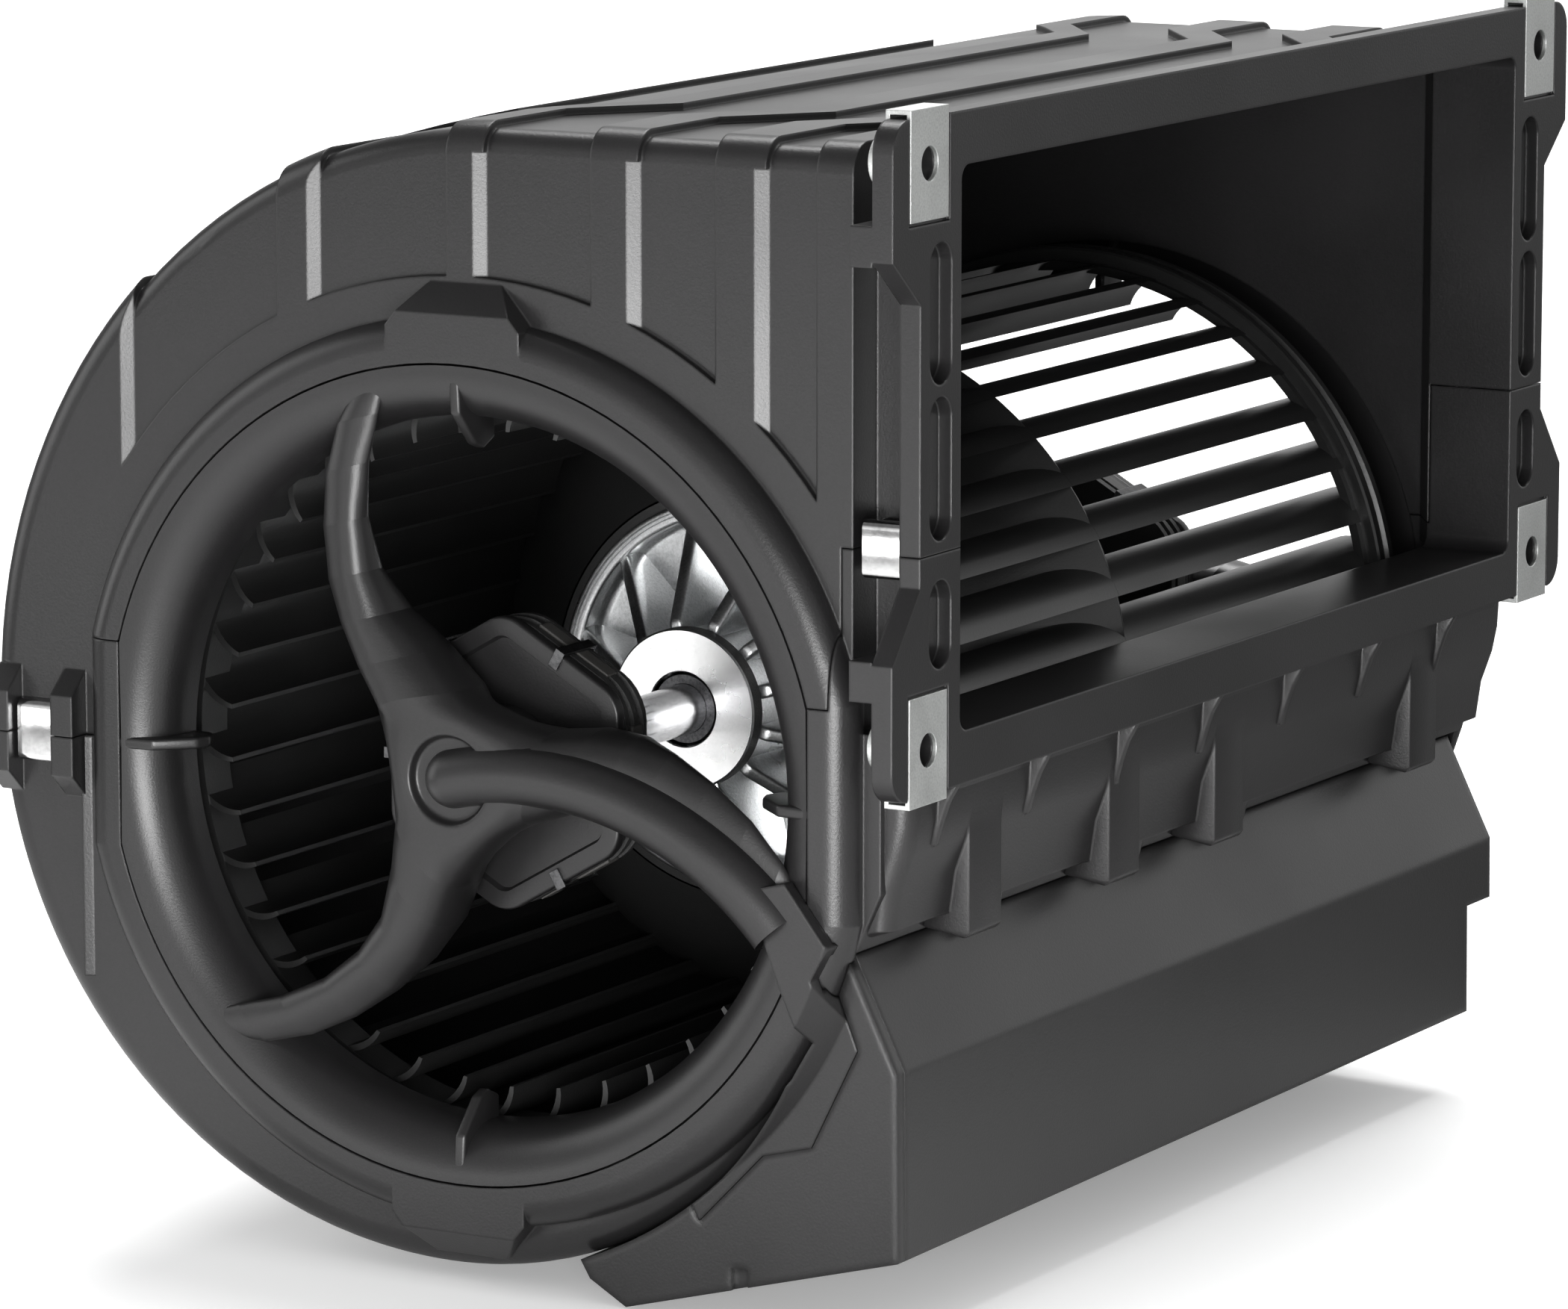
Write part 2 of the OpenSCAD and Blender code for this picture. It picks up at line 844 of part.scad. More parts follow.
module duct_run_of(r, grow, boss) {
    centre = duct_bend * [sin(duct_lift), -cos(duct_lift)];
    translate([centre[0], 0, centre[1]])
        rotate([90, 0, 0])
            rotate([0, 0, 90 + duct_lift - duct_turn])
                rotate_extrude(angle = duct_turn)
                    translate([duct_bend, 0])
                        duct_section(r, grow);
    near_slab(duct_base - boss_sink - grow, duct_mid + boss_rise + grow)
        circle(boss + grow);
}

module inlet_support(arms) {
    difference() {
        union() {
            nozzle();
            nozzle_fins();
            spider(arms);
        }
        near_slab(0, room)
            circle(cable_hole_r);
        near_slab(0, axle_end + axle_room)
            circle(axle_r + axle_room);
    }
}

module inlet_support_near() {
    color([0.25, 0.25, 0.245])
        difference() {
            inlet_support(near_arms);
            duct_run_of(duct_d / 2, slip, duct_boss_r);
        }
}

module inlet_support_far() {
    color([0.25, 0.25, 0.245])
        mirror([0, 1, 0])
            inlet_support(far_arms);
}

module arm_cable_duct() {
    color([0.22, 0.22, 0.22])
        difference() {
            duct_run_of(duct_d / 2, 0, duct_boss_r);
            translate([0, duct_wall, 0])
                duct_run_of(duct_d / 2 - duct_wall, 0, duct_boss_r - duct_wall);
            near_slab(duct_base - 1, room)
                translate([-seam_gap, seam_gap])
                    polygon(cover_edge);
        }
}

// Cover that carries the cable from the arm over the rim to the control box
module arm_end_cover() {
    sheet = box_near - cover_sheet;
    color([0.23, 0.23, 0.23])
        difference() {
            intersection() {
                near_slab(sheet + slip, cover_front)
                    polygon(cover_edge);
                turned()
                    polygon([[cover_in, sheet], [cover_in, cover_front], [rim_r + cover_slope[0], cover_front],
                        [rim_r + cover_slope[1], box_near], [room / 2, box_near], [room / 2, sheet]]);
            }
            rim_plateau(play);
            near_slab(0, rim_face)
                translate([-half_step, -half_step])
                    circle(scroll_r + play);
        }
}

// Side view of the control box, drawn in by the inset, with its back against the scroll
function unit(v) = v / norm(v);
function right_of(v) = [v[1], -v[0]];
function inset_corner(a, b, c, d) =
    let (n1 = right_of(unit(b - a)), n2 = right_of(unit(c - b))) b + d * (n1 + n2) / (1 + n1 * n2);

module box_profile(inset) {
    path = concat([box_back[2], box_bend, box_kink, box_front, box_tail, box_tip], box_back, [box_bend]);
    difference() {
        polygon([for (i = [1:len(path) - 2]) inset_corner(path[i - 1], path[i], path[i + 1], inset)]);
        translate([-half_step, -half_step])
            circle(scroll_r + play + inset);
    }
}

module control_box() {
    color([0.2, 0.2, 0.2])
        difference() {
            union() {
                difference() {
                    near_slab(-box_far_top, box_near - box_cover_t - cover_sheet)
                        box_profile(0);
                    near_slab(-box_far_top + box_t, room)
                        box_profile(box_t);
                }
                board_seats(board_seat_r, box_t / 2);
                near_slab(-box_far_low, box_t - box_far_low)
                    intersection() {
                        box_profile(0);
                        translate([0, box_far_z + box_t - room])
                            square([room, room]);
                    }
                near_slab(-box_far_top, -box_far_low)
                    intersection() {
                        box_profile(0);
                        translate([0, box_far_z])
                            square([room, box_t]);
                    }
            }
            near_slab(-room, -box_far_low)
                translate([0, box_far_z - room])
                    square([room, room]);
        }
}

module board_seats(r, sink) {
    in = board_seat_in;
    for (y = [board_span[0] + in[0], 0, board_span[1] - in[0]], z = [board_z[0] + in[1], board_z[1] - in[1]])
        translate([board_x + board_t + slip, y, z])
            rotate([0, 90, 0])
                cylinder(r = r, h = box_x - box_t - board_x - board_t + sink);
}

module box_end_cover() {
    back = box_near - box_cover_t - cover_sheet;
    color([0.22, 0.22, 0.22])
        difference() {
            near_slab(back + slip, box_near)
                box_profile(0);
            near_slab(box_near - cover_sheet, room)
                for (dx = [-seam_gap, seam_gap])
                    translate([dx, 0])
                        polygon(cover_edge);
            near_slab(box_near - cover_sheet, room)
                translate(notch)
                    square(notch_size);
            rim_plateau(play);
        }
}

module control_board() {
    color([0.1, 0.3, 0.18])
        translate([board_x, board_span[0], board_z[0]])
            cube([board_t, board_span[1] - board_span[0], board_z[1] - board_z[0]]);
}

module board_parts() {
    board_mid = (board_z[0] + board_z[1]) / 2;
    color([0.15, 0.15, 0.17])
        for (i = [0:2])
            translate([board_x - slip, board_span[0] + tall_from + tall_pitch * i, board_mid])
                rotate([0, -90, 0])
                    cylinder(r = tall_r, h = part_h);
    color([0.7, 0.7, 0.72])
        translate([board_x - slip - part_h, board_span[0] + sink_at[0], board_z[0] + sink_at[1]])
            difference() {
                cube([part_h, sink_size[0], sink_size[1]]);
                for (i = [0:sink_slots - 1])
                    translate([-1, sink_slot_w + sink_pitch * i, sink_base])
                        cube([part_h - sink_base, sink_slot_w, room]);
            }
    color([0.1, 0.1, 0.1])
        translate([board_x - slip - part_h / 2, board_span[1] - plug_at[0], board_z[0] + plug_at[1]])
            cube([part_h / 2, plug_size[0], plug_size[1]]);
}

// Places of the six sides of a seat, with the side's middle on +X
module six_sides() {
    for (turn = [0:60:300])
        rotate([0, turn, 0])
            children();
}

// Rubber dampers: hexagonal blocks between the seats and the axle, with hard strips in their sides
module damper() {
    difference() {
        near_slab(damper_back, seat_back - slip)
            hexagon(0);
        six_sides()
            strip(slip);
        near_slab(0, room)
            circle(axle_r + slip);
    }
}

module damper_near() {
    color([0.1, 0.1, 0.1])
        damper();
}

module damper_far() {
    color([0.1, 0.1, 0.1])
        mirror([0, 1, 0])
            damper();
}

module strip(grow) {
    half_y = strip_w / 2 + grow;
    half_z = strip_len / 2 + grow;
    translate([seat_flat - strip_t - grow, -(damper_back + seat_back) / 2 - half_y, -half_z])
        cube([strip_t + strip_proud + 2 * grow, 2 * half_y, 2 * half_z]);
}

module damper_strips() {
    color([0.3, 0.3, 0.3])
        both_sides()
            six_sides()
                strip(0);
}

// Steel straps round seat and rubber, over the middle of each side
module strap() {
    outer = seat_flat + strip_proud + slip;
    linear_extrude(strap_w, center = true)
        difference() {
            translate([seat_flat - strap_tab, -seat_y - slip - strap_t])
                square([outer + strap_t - seat_flat + strap_tab, seat_y - damper_back + 2 * (slip + strap_t)]);
            translate([seat_flat - 2 * strap_tab, -seat_y - slip])
                square([outer - seat_flat + 2 * strap_tab, seat_y - damper_back + 2 * slip]);
        }
}

module damper_straps() {
    color([0.75, 0.75, 0.76])
        both_sides()
            six_sides()
                strap();
}

// Fixed hollow axle with the stator
module axle() {
    color([0.72, 0.72, 0.74])
        difference() {
            along_y(2 * axle_end)
                circle(axle_r);
            near_slab(0, room)
                circle(axle_bore);
            both_sides()
                near_slab(bearing_y - slip - circlip_t, bearing_y - slip)
                    difference() {
                        circle(axle_r + 1);
                        circle(axle_r - groove);
                    }
        }
}

module axle_circlips() {
    color([0.3, 0.3, 0.32])
        both_sides()
            near_slab(bearing_y - 2 * slip - circlip_t + circlip_shy, bearing_y - 2 * slip)
                difference() {
                    circle(axle_r + circlip_w);
                    circle(axle_r - groove + slip);
                    translate([axle_r + circlip_w / 2, 0])
                        square([2 * circlip_w, circlip_gap], center = true);
                }
}

module stator_core() {
    color([0.5, 0.5, 0.52])
        along_y(2 * stator_half)
            difference() {
                union() {
                    circle(stator_hub);
                    for (i = [0:stator_teeth - 1])
                        rotate(i * 360 / stator_teeth) {
                            translate([0, -tooth_w / 2])
                                square([stator_r - shoe_t / 2, tooth_w]);
                            intersection() {
                                difference() {
                                    circle(stator_r);
                                    circle(stator_r - shoe_t);
                                }
                                polygon([[0, 0], stator_r * 1.2 * [cos(shoe_span / 2), -sin(shoe_span / 2)],
                                    stator_r * 1.2 * [cos(shoe_span / 2), sin(shoe_span / 2)]]);
                            }
                        }
                }
                circle(axle_r + slip);
            }
}

module stator_windings() {
    color([0.72, 0.4, 0.2])
        for (i = [0:stator_teeth - 1])
            rotate([0, i * 360 / stator_teeth, 0])
                translate([coil_in, 0, 0])
                    difference() {
                        translate([0, -winding_half, -tooth_w / 2 - coil_t])
                            cube([coil_len, 2 * winding_half, tooth_w + 2 * coil_t]);
                        translate([-1, -stator_half - slip, -tooth_w / 2 - slip])
                            cube([room, 2 * (stator_half + slip), tooth_w + 2 * slip]);
                    }
}

// Ball bearings in the rotor caps
module race() {
    translate([(axle_r + bearing_d / 2) / 2, bearing_y + bearing_w / 2])
        circle(ball_r + slip);
}

module bearing_inner_rings() {
    color([0.78, 0.78, 0.8])
        both_sides()
            turned()
                difference() {
                    translate([axle_r + slip, bearing_y])
                        square([(bearing_d / 2 - axle_r) / 2 - ring_gap - slip, bearing_w]);
                    race();
                }
}

module bearing_outer_rings() {
    mid = (axle_r + bearing_d / 2) / 2;
    color([0.78, 0.78, 0.8])
        both_sides()
            turned()
                difference() {
                    translate([mid + ring_gap, bearing_y])
                        square([bearing_d / 2 - mid - ring_gap - slip, bearing_w - slip]);
                    race();
                }
}

module bearing_balls() {
    color([0.85, 0.85, 0.87])
        both_sides()
            for (i = [0:ball_count - 1])
                rotate([0, i * 360 / ball_count, 0])
                    translate([(axle_r + bearing_d / 2) / 2, -bearing_y - bearing_w / 2, 0])
                        sphere(ball_r);
}

// External rotor: two ribbed die-cast caps on a steel yoke with magnets inside
module rotor_cap() {
    root = cap_boss_r - cap_step;
    tip = rotor_r - cap_rim + cap_step;
    foot = -web_y - cap_web / 2;
    rib_end = cap_rib_top - cap_top;
    turned() {
        translate([rotor_r - cap_rim, web_y])
            square([cap_rim, cap_y - web_y]);
        translate([cap_boss_r - cap_web, web_y])
            square([rotor_r - cap_boss_r, cap_web]);
        translate([bearing_d / 2, web_y])
            square([cap_boss_r - bearing_d / 2, cap_top - web_y]);
        translate([cap_hole_r, cap_top - cap_lip])
            square([cap_boss_r - cap_hole_r, cap_lip]);
    }
    for (i = [0:cap_ribs - 1])
        rotate([0, (i + 0.5) * 360 / cap_ribs, 0])
            linear_extrude(cap_rib_t, center = true)
                polygon([[root, foot], [root, rib_end], [cap_boss_r + cap_step, rib_end],
                    [tip, cap_step - cap_y], [tip, foot]]);
}

module rotor_cap_near() {
    color([0.75, 0.75, 0.76])
        rotor_cap();
}

module rotor_cap_far() {
    color([0.75, 0.75, 0.76])
        mirror([0, 1, 0])
            rotor_cap();
}

module rotor_yoke() {
    color([0.45, 0.45, 0.47])
        along_y(2 * (web_y - slip))
            difference() {
                circle(rotor_r);
                circle(rotor_r - yoke_t);
            }
}

module rotor_magnets() {
    color([0.25, 0.25, 0.27])
        for (i = [0:magnet_count - 1])
            rotate([90, 0, 0])
                rotate([0, 0, i * 360 / magnet_count])
                    rotate_extrude(angle = magnet_span)
                        translate([magnet_r - magnet_t, -magnet_half])
                            square([magnet_t, 2 * magnet_half]);
}

// One forward-curved blade in section, leading edge inside
module blade_section() {
    outer = blade_arc + blade_t / 2;
    inner = blade_arc - blade_t / 2;
    turns = [for (i = [0:blade_steps]) blade_lean * i / blade_steps];
    polygon(concat([for (a = turns) [blade_in + outer * sin(a), outer * cos(a) - blade_arc]],
        [for (i = [blade_steps:-1:0]) [blade_in + inner * sin(turns[i]), inner * cos(turns[i]) - blade_arc]]));
}

// Half section under the domed disc, down to its parting plane
module dome_section(r) {
    polygon(concat([[0, -1], [dome_c[0] + r * cos(dome_from), -1]],
        [for (i = [0:dome_steps]) dome_c + r * [cos(dome_turn(i)), sin(dome_turn(i))]],
        [[0, dome_c[1] + r * sin(dome_to)]]));
}

function dome_turn(i) = dome_from + (dome_to - dome_from) * i / dome_steps;

module impeller_half() {
    turned()
        intersection() {
            difference() {
                dome_section(dome_r);
                dome_section(dome_r - dome_t);
            }
            translate([rotor_r + slip, slip])
                square([blade_out, dome_top]);
        }
    turned()
        translate([rotor_r + slip, dome_top - seat_w])
            square([dome_t + seat_lip, seat_w]);
    turned()
        translate([blade_out - ring_bite, half_len - ring_w])
            square([ring_r - blade_out + ring_bite, ring_w]);
    difference() {
        near_slab(slip, half_len)
            for (i = [0:blade_count - 1])
                rotate(i * 360 / blade_count)
                    blade_section();
        turned()
            dome_section(dome_r - dome_t / 2);
    }
}

module impeller_near() {
    color([0.2, 0.2, 0.2])
        impeller_half();
}

module impeller_far() {
    color([0.2, 0.2, 0.2])
        mirror([0, 1, 0])
            impeller_half();
}

// Sheet-metal clip nuts pushed over the flange's upper and lower edges
module clip_nut() {
    top = lug_top + nut_over;
    back = flange_back - slip - nut_t;
    difference() {
        union() {
            along_x(flange_x - nut_t, flange_x)
                translate([-nut_w / 2, -nut_in])
                    square([nut_w, nut_in + top + nut_t]);
            along_x(back, back + nut_t)
                translate([-nut_w / 2, -nut_in / 2])
                    square([nut_w, nut_in / 2 + top + nut_t]);
            along_x(back, flange_x)
                translate([-nut_w / 2, top])
                    square([nut_w, nut_t]);
            along_x(back - nut_len, back + nut_t)
                circle(nut_r);
        }
        along_x(flange_back - room, flange_x + 1)
            circle(d = bolt_d);
    }
}

module clip_nuts() {
    color([0.68, 0.68, 0.67])
        for (y = [0, 1], z = [0, 1])
            translate([0, 0, outlet_z])
                mirror([0, y, 0])
                    mirror([0, 0, z])
                        translate([0, bolt_y, bolt_h / 2])
                            clip_nut();
}

// Spring clips that hold the two housing halves together
module spring_clip(spot) {
    face = spot[2] + clip_stand + slip;
    half = spot[4] / 2;
    foot = spot[2] + slip;
    near_slab(face, face + clip_t)
        translate([spot[0] - spot[3] / 2, spot[1] - half])
            square([spot[3], 2 * half]);
    for (z = [half - clip_t, -half])
        near_slab(foot, face + clip_t)
            translate([spot[0] - spot[3] / 2, spot[1] + z])
                square([spot[3], clip_t]);
}

module spring_clips() {
    color([0.85, 0.85, 0.86])
        both_sides()
            for (spot = clip_spots)
                spring_clip(spot);
}

// Moves the fan-axis layout so that the outlet's bolt pattern is at the origin
module set_up() {
    translate([-flange_x, 0, -outlet_z])
        children();
}

set_up() upper_housing();
set_up() lower_housing();
set_up() inlet_support_near();
set_up() inlet_support_far();
set_up() arm_cable_duct();
set_up() arm_end_cover();
set_up() control_box();
set_up() box_end_cover();
set_up() control_board();
set_up() board_parts();
set_up() damper_near();
set_up() damper_far();
set_up() damper_strips();
set_up() damper_straps();
set_up() axle();
set_up() stator_core();
set_up() stator_windings();
set_up() bearing_inner_rings();
set_up() bearing_outer_rings();
set_up() bearing_balls();
set_up() axle_circlips();
set_up() rotor_cap_near();
set_up() rotor_cap_far();
set_up() rotor_yoke();
set_up() rotor_magnets();
set_up() impeller_near();
set_up() impeller_far();
set_up() clip_nuts();
set_up() spring_clips();
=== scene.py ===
"""Double-inlet centrifugal blower with an external-rotor motor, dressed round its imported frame."""

import json
import math

import bmesh
import bpy
from mathutils import Matrix, Vector


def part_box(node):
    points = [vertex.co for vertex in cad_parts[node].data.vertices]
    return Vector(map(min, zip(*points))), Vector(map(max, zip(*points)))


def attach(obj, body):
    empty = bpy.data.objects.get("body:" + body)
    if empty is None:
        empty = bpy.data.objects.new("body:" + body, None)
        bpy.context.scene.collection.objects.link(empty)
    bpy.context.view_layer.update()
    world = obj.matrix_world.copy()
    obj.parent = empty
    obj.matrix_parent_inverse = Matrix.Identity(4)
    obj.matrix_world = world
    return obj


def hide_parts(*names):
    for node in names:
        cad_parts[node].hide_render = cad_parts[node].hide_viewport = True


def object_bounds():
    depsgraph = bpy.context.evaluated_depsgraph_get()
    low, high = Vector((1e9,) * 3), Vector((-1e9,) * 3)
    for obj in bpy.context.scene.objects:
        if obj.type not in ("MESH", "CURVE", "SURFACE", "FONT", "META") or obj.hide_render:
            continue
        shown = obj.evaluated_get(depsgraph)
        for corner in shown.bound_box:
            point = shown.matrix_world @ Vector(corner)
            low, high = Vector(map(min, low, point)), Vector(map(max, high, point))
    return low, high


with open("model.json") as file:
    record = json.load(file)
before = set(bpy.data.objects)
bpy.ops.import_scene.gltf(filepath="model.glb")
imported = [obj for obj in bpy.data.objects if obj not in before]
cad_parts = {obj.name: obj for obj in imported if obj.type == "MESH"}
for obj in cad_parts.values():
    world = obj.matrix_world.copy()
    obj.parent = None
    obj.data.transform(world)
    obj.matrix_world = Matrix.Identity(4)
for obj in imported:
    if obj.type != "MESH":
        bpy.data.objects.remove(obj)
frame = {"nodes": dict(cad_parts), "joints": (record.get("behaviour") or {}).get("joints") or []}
cad_low, cad_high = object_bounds()


# Scroll housing: two glass-filled polypropylene mouldings, parted along the fan axis
# and clipped together. The tool's spark-eroded skin leaves a fine even grain on them.
def linear(red, green, blue):
    """A colour read as 0 to 255 on a screen, as the shader's own linear values."""
    steps = [c / 255 for c in (red, green, blue)]
    return [c / 12.92 if c <= 0.04045 else ((c + 0.055) / 1.055) ** 2.4 for c in steps] + [1.0]


def fed(tree, socket, value):
    """Links another node's socket to a socket, or sets a plain value on it."""
    if isinstance(value, bpy.types.NodeSocket):
        tree.links.new(value, socket)
    else:
        socket.default_value = value


def noise(tree, vector, scale, detail=2.0, rough=0.5):
    node = tree.nodes.new("ShaderNodeTexNoise")
    for title, value in (("Vector", vector), ("Scale", scale), ("Detail", detail), ("Roughness", rough)):
        fed(tree, node.inputs[title], value)
    return node.outputs["Fac"]


def ranged(tree, value, low, high, start=0.3, stop=0.7):
    """The value from start to stop, stretched to run from low to high."""
    node = tree.nodes.new("ShaderNodeMapRange")
    ends = (("From Min", start), ("From Max", stop), ("To Min", low), ("To Max", high))
    for title, end in (("Value", value),) + ends:
        fed(tree, node.inputs[title], end)
    return node.outputs["Result"]


def mixed(tree, share, first, second):
    """Two colours mixed by a share from 0 to 1."""
    node = tree.nodes.new("ShaderNodeMix")
    node.data_type = "RGBA"
    sockets = {socket.identifier: socket for socket in list(node.inputs) + list(node.outputs)}
    for title, value in (("Factor_Float", share), ("A_Color", first), ("B_Color", second)):
        fed(tree, sockets[title], value)
    return sockets["Result_Color"]


def skin_group(name, second_tone):
    """An empty shader group with the named sockets of a skin, and the sockets of its two ends."""
    group = bpy.data.node_groups.new(name, "ShaderNodeTree")
    inputs = [("Vector", "Vector"), ("Tone", "Color"), (second_tone, "Color"), ("Grain", "Float"),
              ("Gloss Low", "Float"), ("Gloss High", "Float")]
    outputs = [("Color", "Color"), ("Roughness", "Float"), ("Height", "Float")]
    for direction, sockets in (("INPUT", inputs), ("OUTPUT", outputs)):
        for title, kind in sockets:
            group.interface.new_socket(title, in_out=direction, socket_type="NodeSocket" + kind)
    return group, group.nodes.new("NodeGroupInput").outputs, group.nodes.new("NodeGroupOutput").inputs


def moulded_grain():
    """Grain of an eroded mould: a fine even skin, with slow drifts of tone and gloss."""
    group, given, skin = skin_group("moulded_grain", "Pale")
    drift_scale, speck_share = 14.0, 0.55
    fine = noise(group, given["Vector"], given["Grain"], detail=3.0, rough=0.6)
    drift = noise(group, given["Vector"], drift_scale, detail=3.0)
    share = group.nodes.new("ShaderNodeMath")
    share.operation = "MULTIPLY_ADD"
    share.use_clamp = True
    group.links.new(ranged(group, fine, 0.0, 1.0, start=0.35, stop=0.75), share.inputs[0])
    share.inputs[1].default_value = speck_share
    group.links.new(ranged(group, drift, 0.0, 0.5), share.inputs[2])
    colour = mixed(group, share.outputs[0], given["Tone"], given["Pale"])
    gloss = ranged(group, drift, given["Gloss Low"], given["Gloss High"])
    for title, value in (("Color", colour), ("Roughness", gloss), ("Height", fine)):
        group.links.new(value, skin[title])
    return group


def started_material(name):
    """A material with its tree, its Principled shader and its object coordinates."""
    material = bpy.data.materials.new(name)
    material.use_nodes = True
    tree = material.node_tree
    shader = tree.nodes["Principled BSDF"]
    place = tree.nodes.new("ShaderNodeTexCoord").outputs["Object"]
    return material, tree, shader, place


def relief(tree, shader, height, depth, edge):
    """Bump of a given depth in metres, over edges rounded by a given radius."""
    bump = tree.nodes.new("ShaderNodeBump")
    bump.inputs["Distance"].default_value = depth
    tree.links.new(height, bump.inputs["Height"])
    if edge:
        soft = tree.nodes.new("ShaderNodeBevel")
        soft.samples = 6
        soft.inputs["Radius"].default_value = edge
        tree.links.new(soft.outputs["Normal"], bump.inputs["Normal"])
    tree.links.new(bump.outputs["Normal"], shader.inputs["Normal"])


def skinned(name, group, gloss, depth, edge, **values):
    """A material whose colour, gloss and relief come from a skin group, with its own values."""
    material, tree, shader, place = started_material(name)
    skin = tree.nodes.new("ShaderNodeGroup")
    skin.node_tree = group
    values.update(vector=place, gloss_low=gloss[0], gloss_high=gloss[1])
    for title, value in values.items():
        fed(tree, skin.inputs[title.replace("_", " ").title()], value)
    tree.links.new(skin.outputs["Color"], shader.inputs["Base Color"])
    tree.links.new(skin.outputs["Roughness"], shader.inputs["Roughness"])
    relief(tree, shader, skin.outputs["Height"], depth, edge)
    return material


grain_group = moulded_grain()


def plastic(name, tone, pale, grain, gloss, depth, edge=0.0):
    return skinned(name, grain_group, gloss, depth, edge, tone=linear(*tone), pale=linear(*pale), grain=grain)


def dress(material, *names):
    """Gives CAD nodes their material."""
    for name in names:
        mesh = frame["nodes"][name].data
        mesh.materials.clear()
        mesh.materials.append(material)


housing_plastic = plastic(
    "housing_plastic", (24, 24, 24), (35, 34, 35), 1500.0, (0.28, 0.37), 0.00005, 0.0009)
dress(housing_plastic, "upper_housing", "lower_housing")

# Inlet supports: each is one moulding of bell mouth, guide fins, curved arms and the seat of
# the rubber mount, pressed into the rim's seat. The side away from the cable has two arms.
support_plastic = plastic("support_plastic", (22, 22, 22), (33, 32, 33), 1700.0, (0.33, 0.41), 0.00004)

# Shapes are drawn in millimetres about the fan axis, which runs along Y, with the near side at -Y.
# Corners closer than touch are at the same place.
MM = 0.001
axis_x, _, axis_z = frame["joints"][0]["pos_m"]
touch = 0.01
hub_front = -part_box("inlet_support_near")[0].y / MM
hub_deep = 26.0
rim_face = hub_front - 3.5
seam_r, seam_flat, throat_r = 109.3, 105.8, 94.5
bell_r, bell_wall, bell_skirt = seam_r - throat_r, 2.5, 5.0
throat_y = rim_face - bell_r
lip_w, lip_deep = 4.0, 9.0
near_arms, far_arms = (104.5, 224.5, 344.5), (156.0, 336.0)
# Stations of an arm: distance along it, bulged edge, ridge, hollow edge, and the depths behind
# the hub's front of its edges, its ridge and its rear.
arm_stations = (
    (34, 25.5, 15.5, 1.0, 3.6, 0.2, 25.5),
    (46, 28.0, 18.0, 9.6, 4.6, 0.6, 21.5),
    (58, 28.2, 18.0, 12.4, 5.0, 1.0, 14.0),
    (72, 25.6, 15.5, 11.2, 5.2, 1.4, 10.0),
    (86, 20.4, 12.0, 6.2, 5.2, 2.2, 8.0),
    (98, 13.0, 6.4, -0.6, 5.0, 3.0, 7.0),
    (108, 3.6, -2.6, -6.0, 5.6, 4.6, 7.0))
hub_roots = ((22, -7), (24, 10), (22, 21))
hub_gap_r, hub_gap_share = 20.5, 2 / 3
recess_r, recess_depth, recess_step = 12.4, 2.6, 0.5
recess_rings = (
    (recess_r + 1.2, 0), (recess_r, 0), (recess_r - recess_step, recess_depth), (recess_r - 2, recess_depth))
fin_t, fin_edge = 3.2, 0.9
fin_side = (
    (rim_face - 0.5, seam_r - 1.5), (rim_face - 1.4, throat_r + 2), (throat_y + 5, throat_r - 7),
    (throat_y + 1, throat_r - 8.5), (throat_y - 4.5, throat_r - 6), (throat_y - 4.5, throat_r + 1.5),
    (rim_face - 6, seam_r - 2))
seat_r, seat_front, seat_back = 41.0, rim_face - 24.5, rim_face - 28.5
seat_corner, seat_edge, seat_border = 5.0, 0.8, 4.2
well_slope, well_depth = 0.8, 1.6
stem_r, stem_len, stem_out = 16.0, 10.0, 4.0


def arc(centre, radius, start, stop, steps):
    """Points on an arc in a half section, from one angle to another."""
    turns = [math.radians(start + (stop - start) * i / steps) for i in range(steps + 1)]
    return [(centre[0] + radius * math.cos(t), centre[1] + radius * math.sin(t)) for t in turns]


def turned(shape, section, steps):
    """A closed half section, radius and height towards the near side, turned about the fan axis."""
    corners = [shape.verts.new((r, -height, 0)) for r, height in section]
    sides = [shape.edges.new(pair) for pair in zip(corners, corners[1:] + corners[:1])]
    bmesh.ops.spin(shape, geom=corners + sides, cent=(0, 0, 0), axis=(0, 1, 0),
                   angle=math.tau, steps=steps, use_merge=True)


def swung(shape, degrees):
    """Turns a shape about the fan axis."""
    bmesh.ops.rotate(shape, verts=shape.verts, matrix=Matrix.Rotation(math.radians(degrees), 3, "Y"))


def around(turn, along, out, height):
    """A point at a distance along a direction turned about the axis, and out to its left."""
    c, s = math.cos(math.radians(turn)), math.sin(math.radians(turn))
    return Vector((along * c - out * s, -height, along * s + out * c))


def parts_of(made, kind):
    """The parts of one kind, such as corners, that an operator made."""
    return [part for part in made if isinstance(part, kind)]


def raised(shape, outline, way):
    """A face on an outline's points, extruded by a vector into a closed plate."""
    face = shape.faces.new([shape.verts.new(point) for point in outline])
    made = bmesh.ops.extrude_face_region(shape, geom=[face])["geom"]
    bmesh.ops.translate(shape, verts=parts_of(made, bmesh.types.BMVert), vec=way)


def extruded(shape, faces, places):
    """Extrudes a patch of faces and moves each new corner to the place of its old one."""
    made = bmesh.ops.extrude_face_region(shape, geom=faces)["geom"]
    for corner in parts_of(made, bmesh.types.BMVert):
        old = min(places, key=lambda place: (place[0] - corner.co).length)
        corner.co = old[1]
    return parts_of(made, bmesh.types.BMFace)


def eased(shape, edges, radius, segments):
    """Rounds some edges of a shape."""
    bmesh.ops.bevel(shape, geom=edges, offset=radius, segments=segments, profile=0.5,
                    affect="EDGES", material=-1)


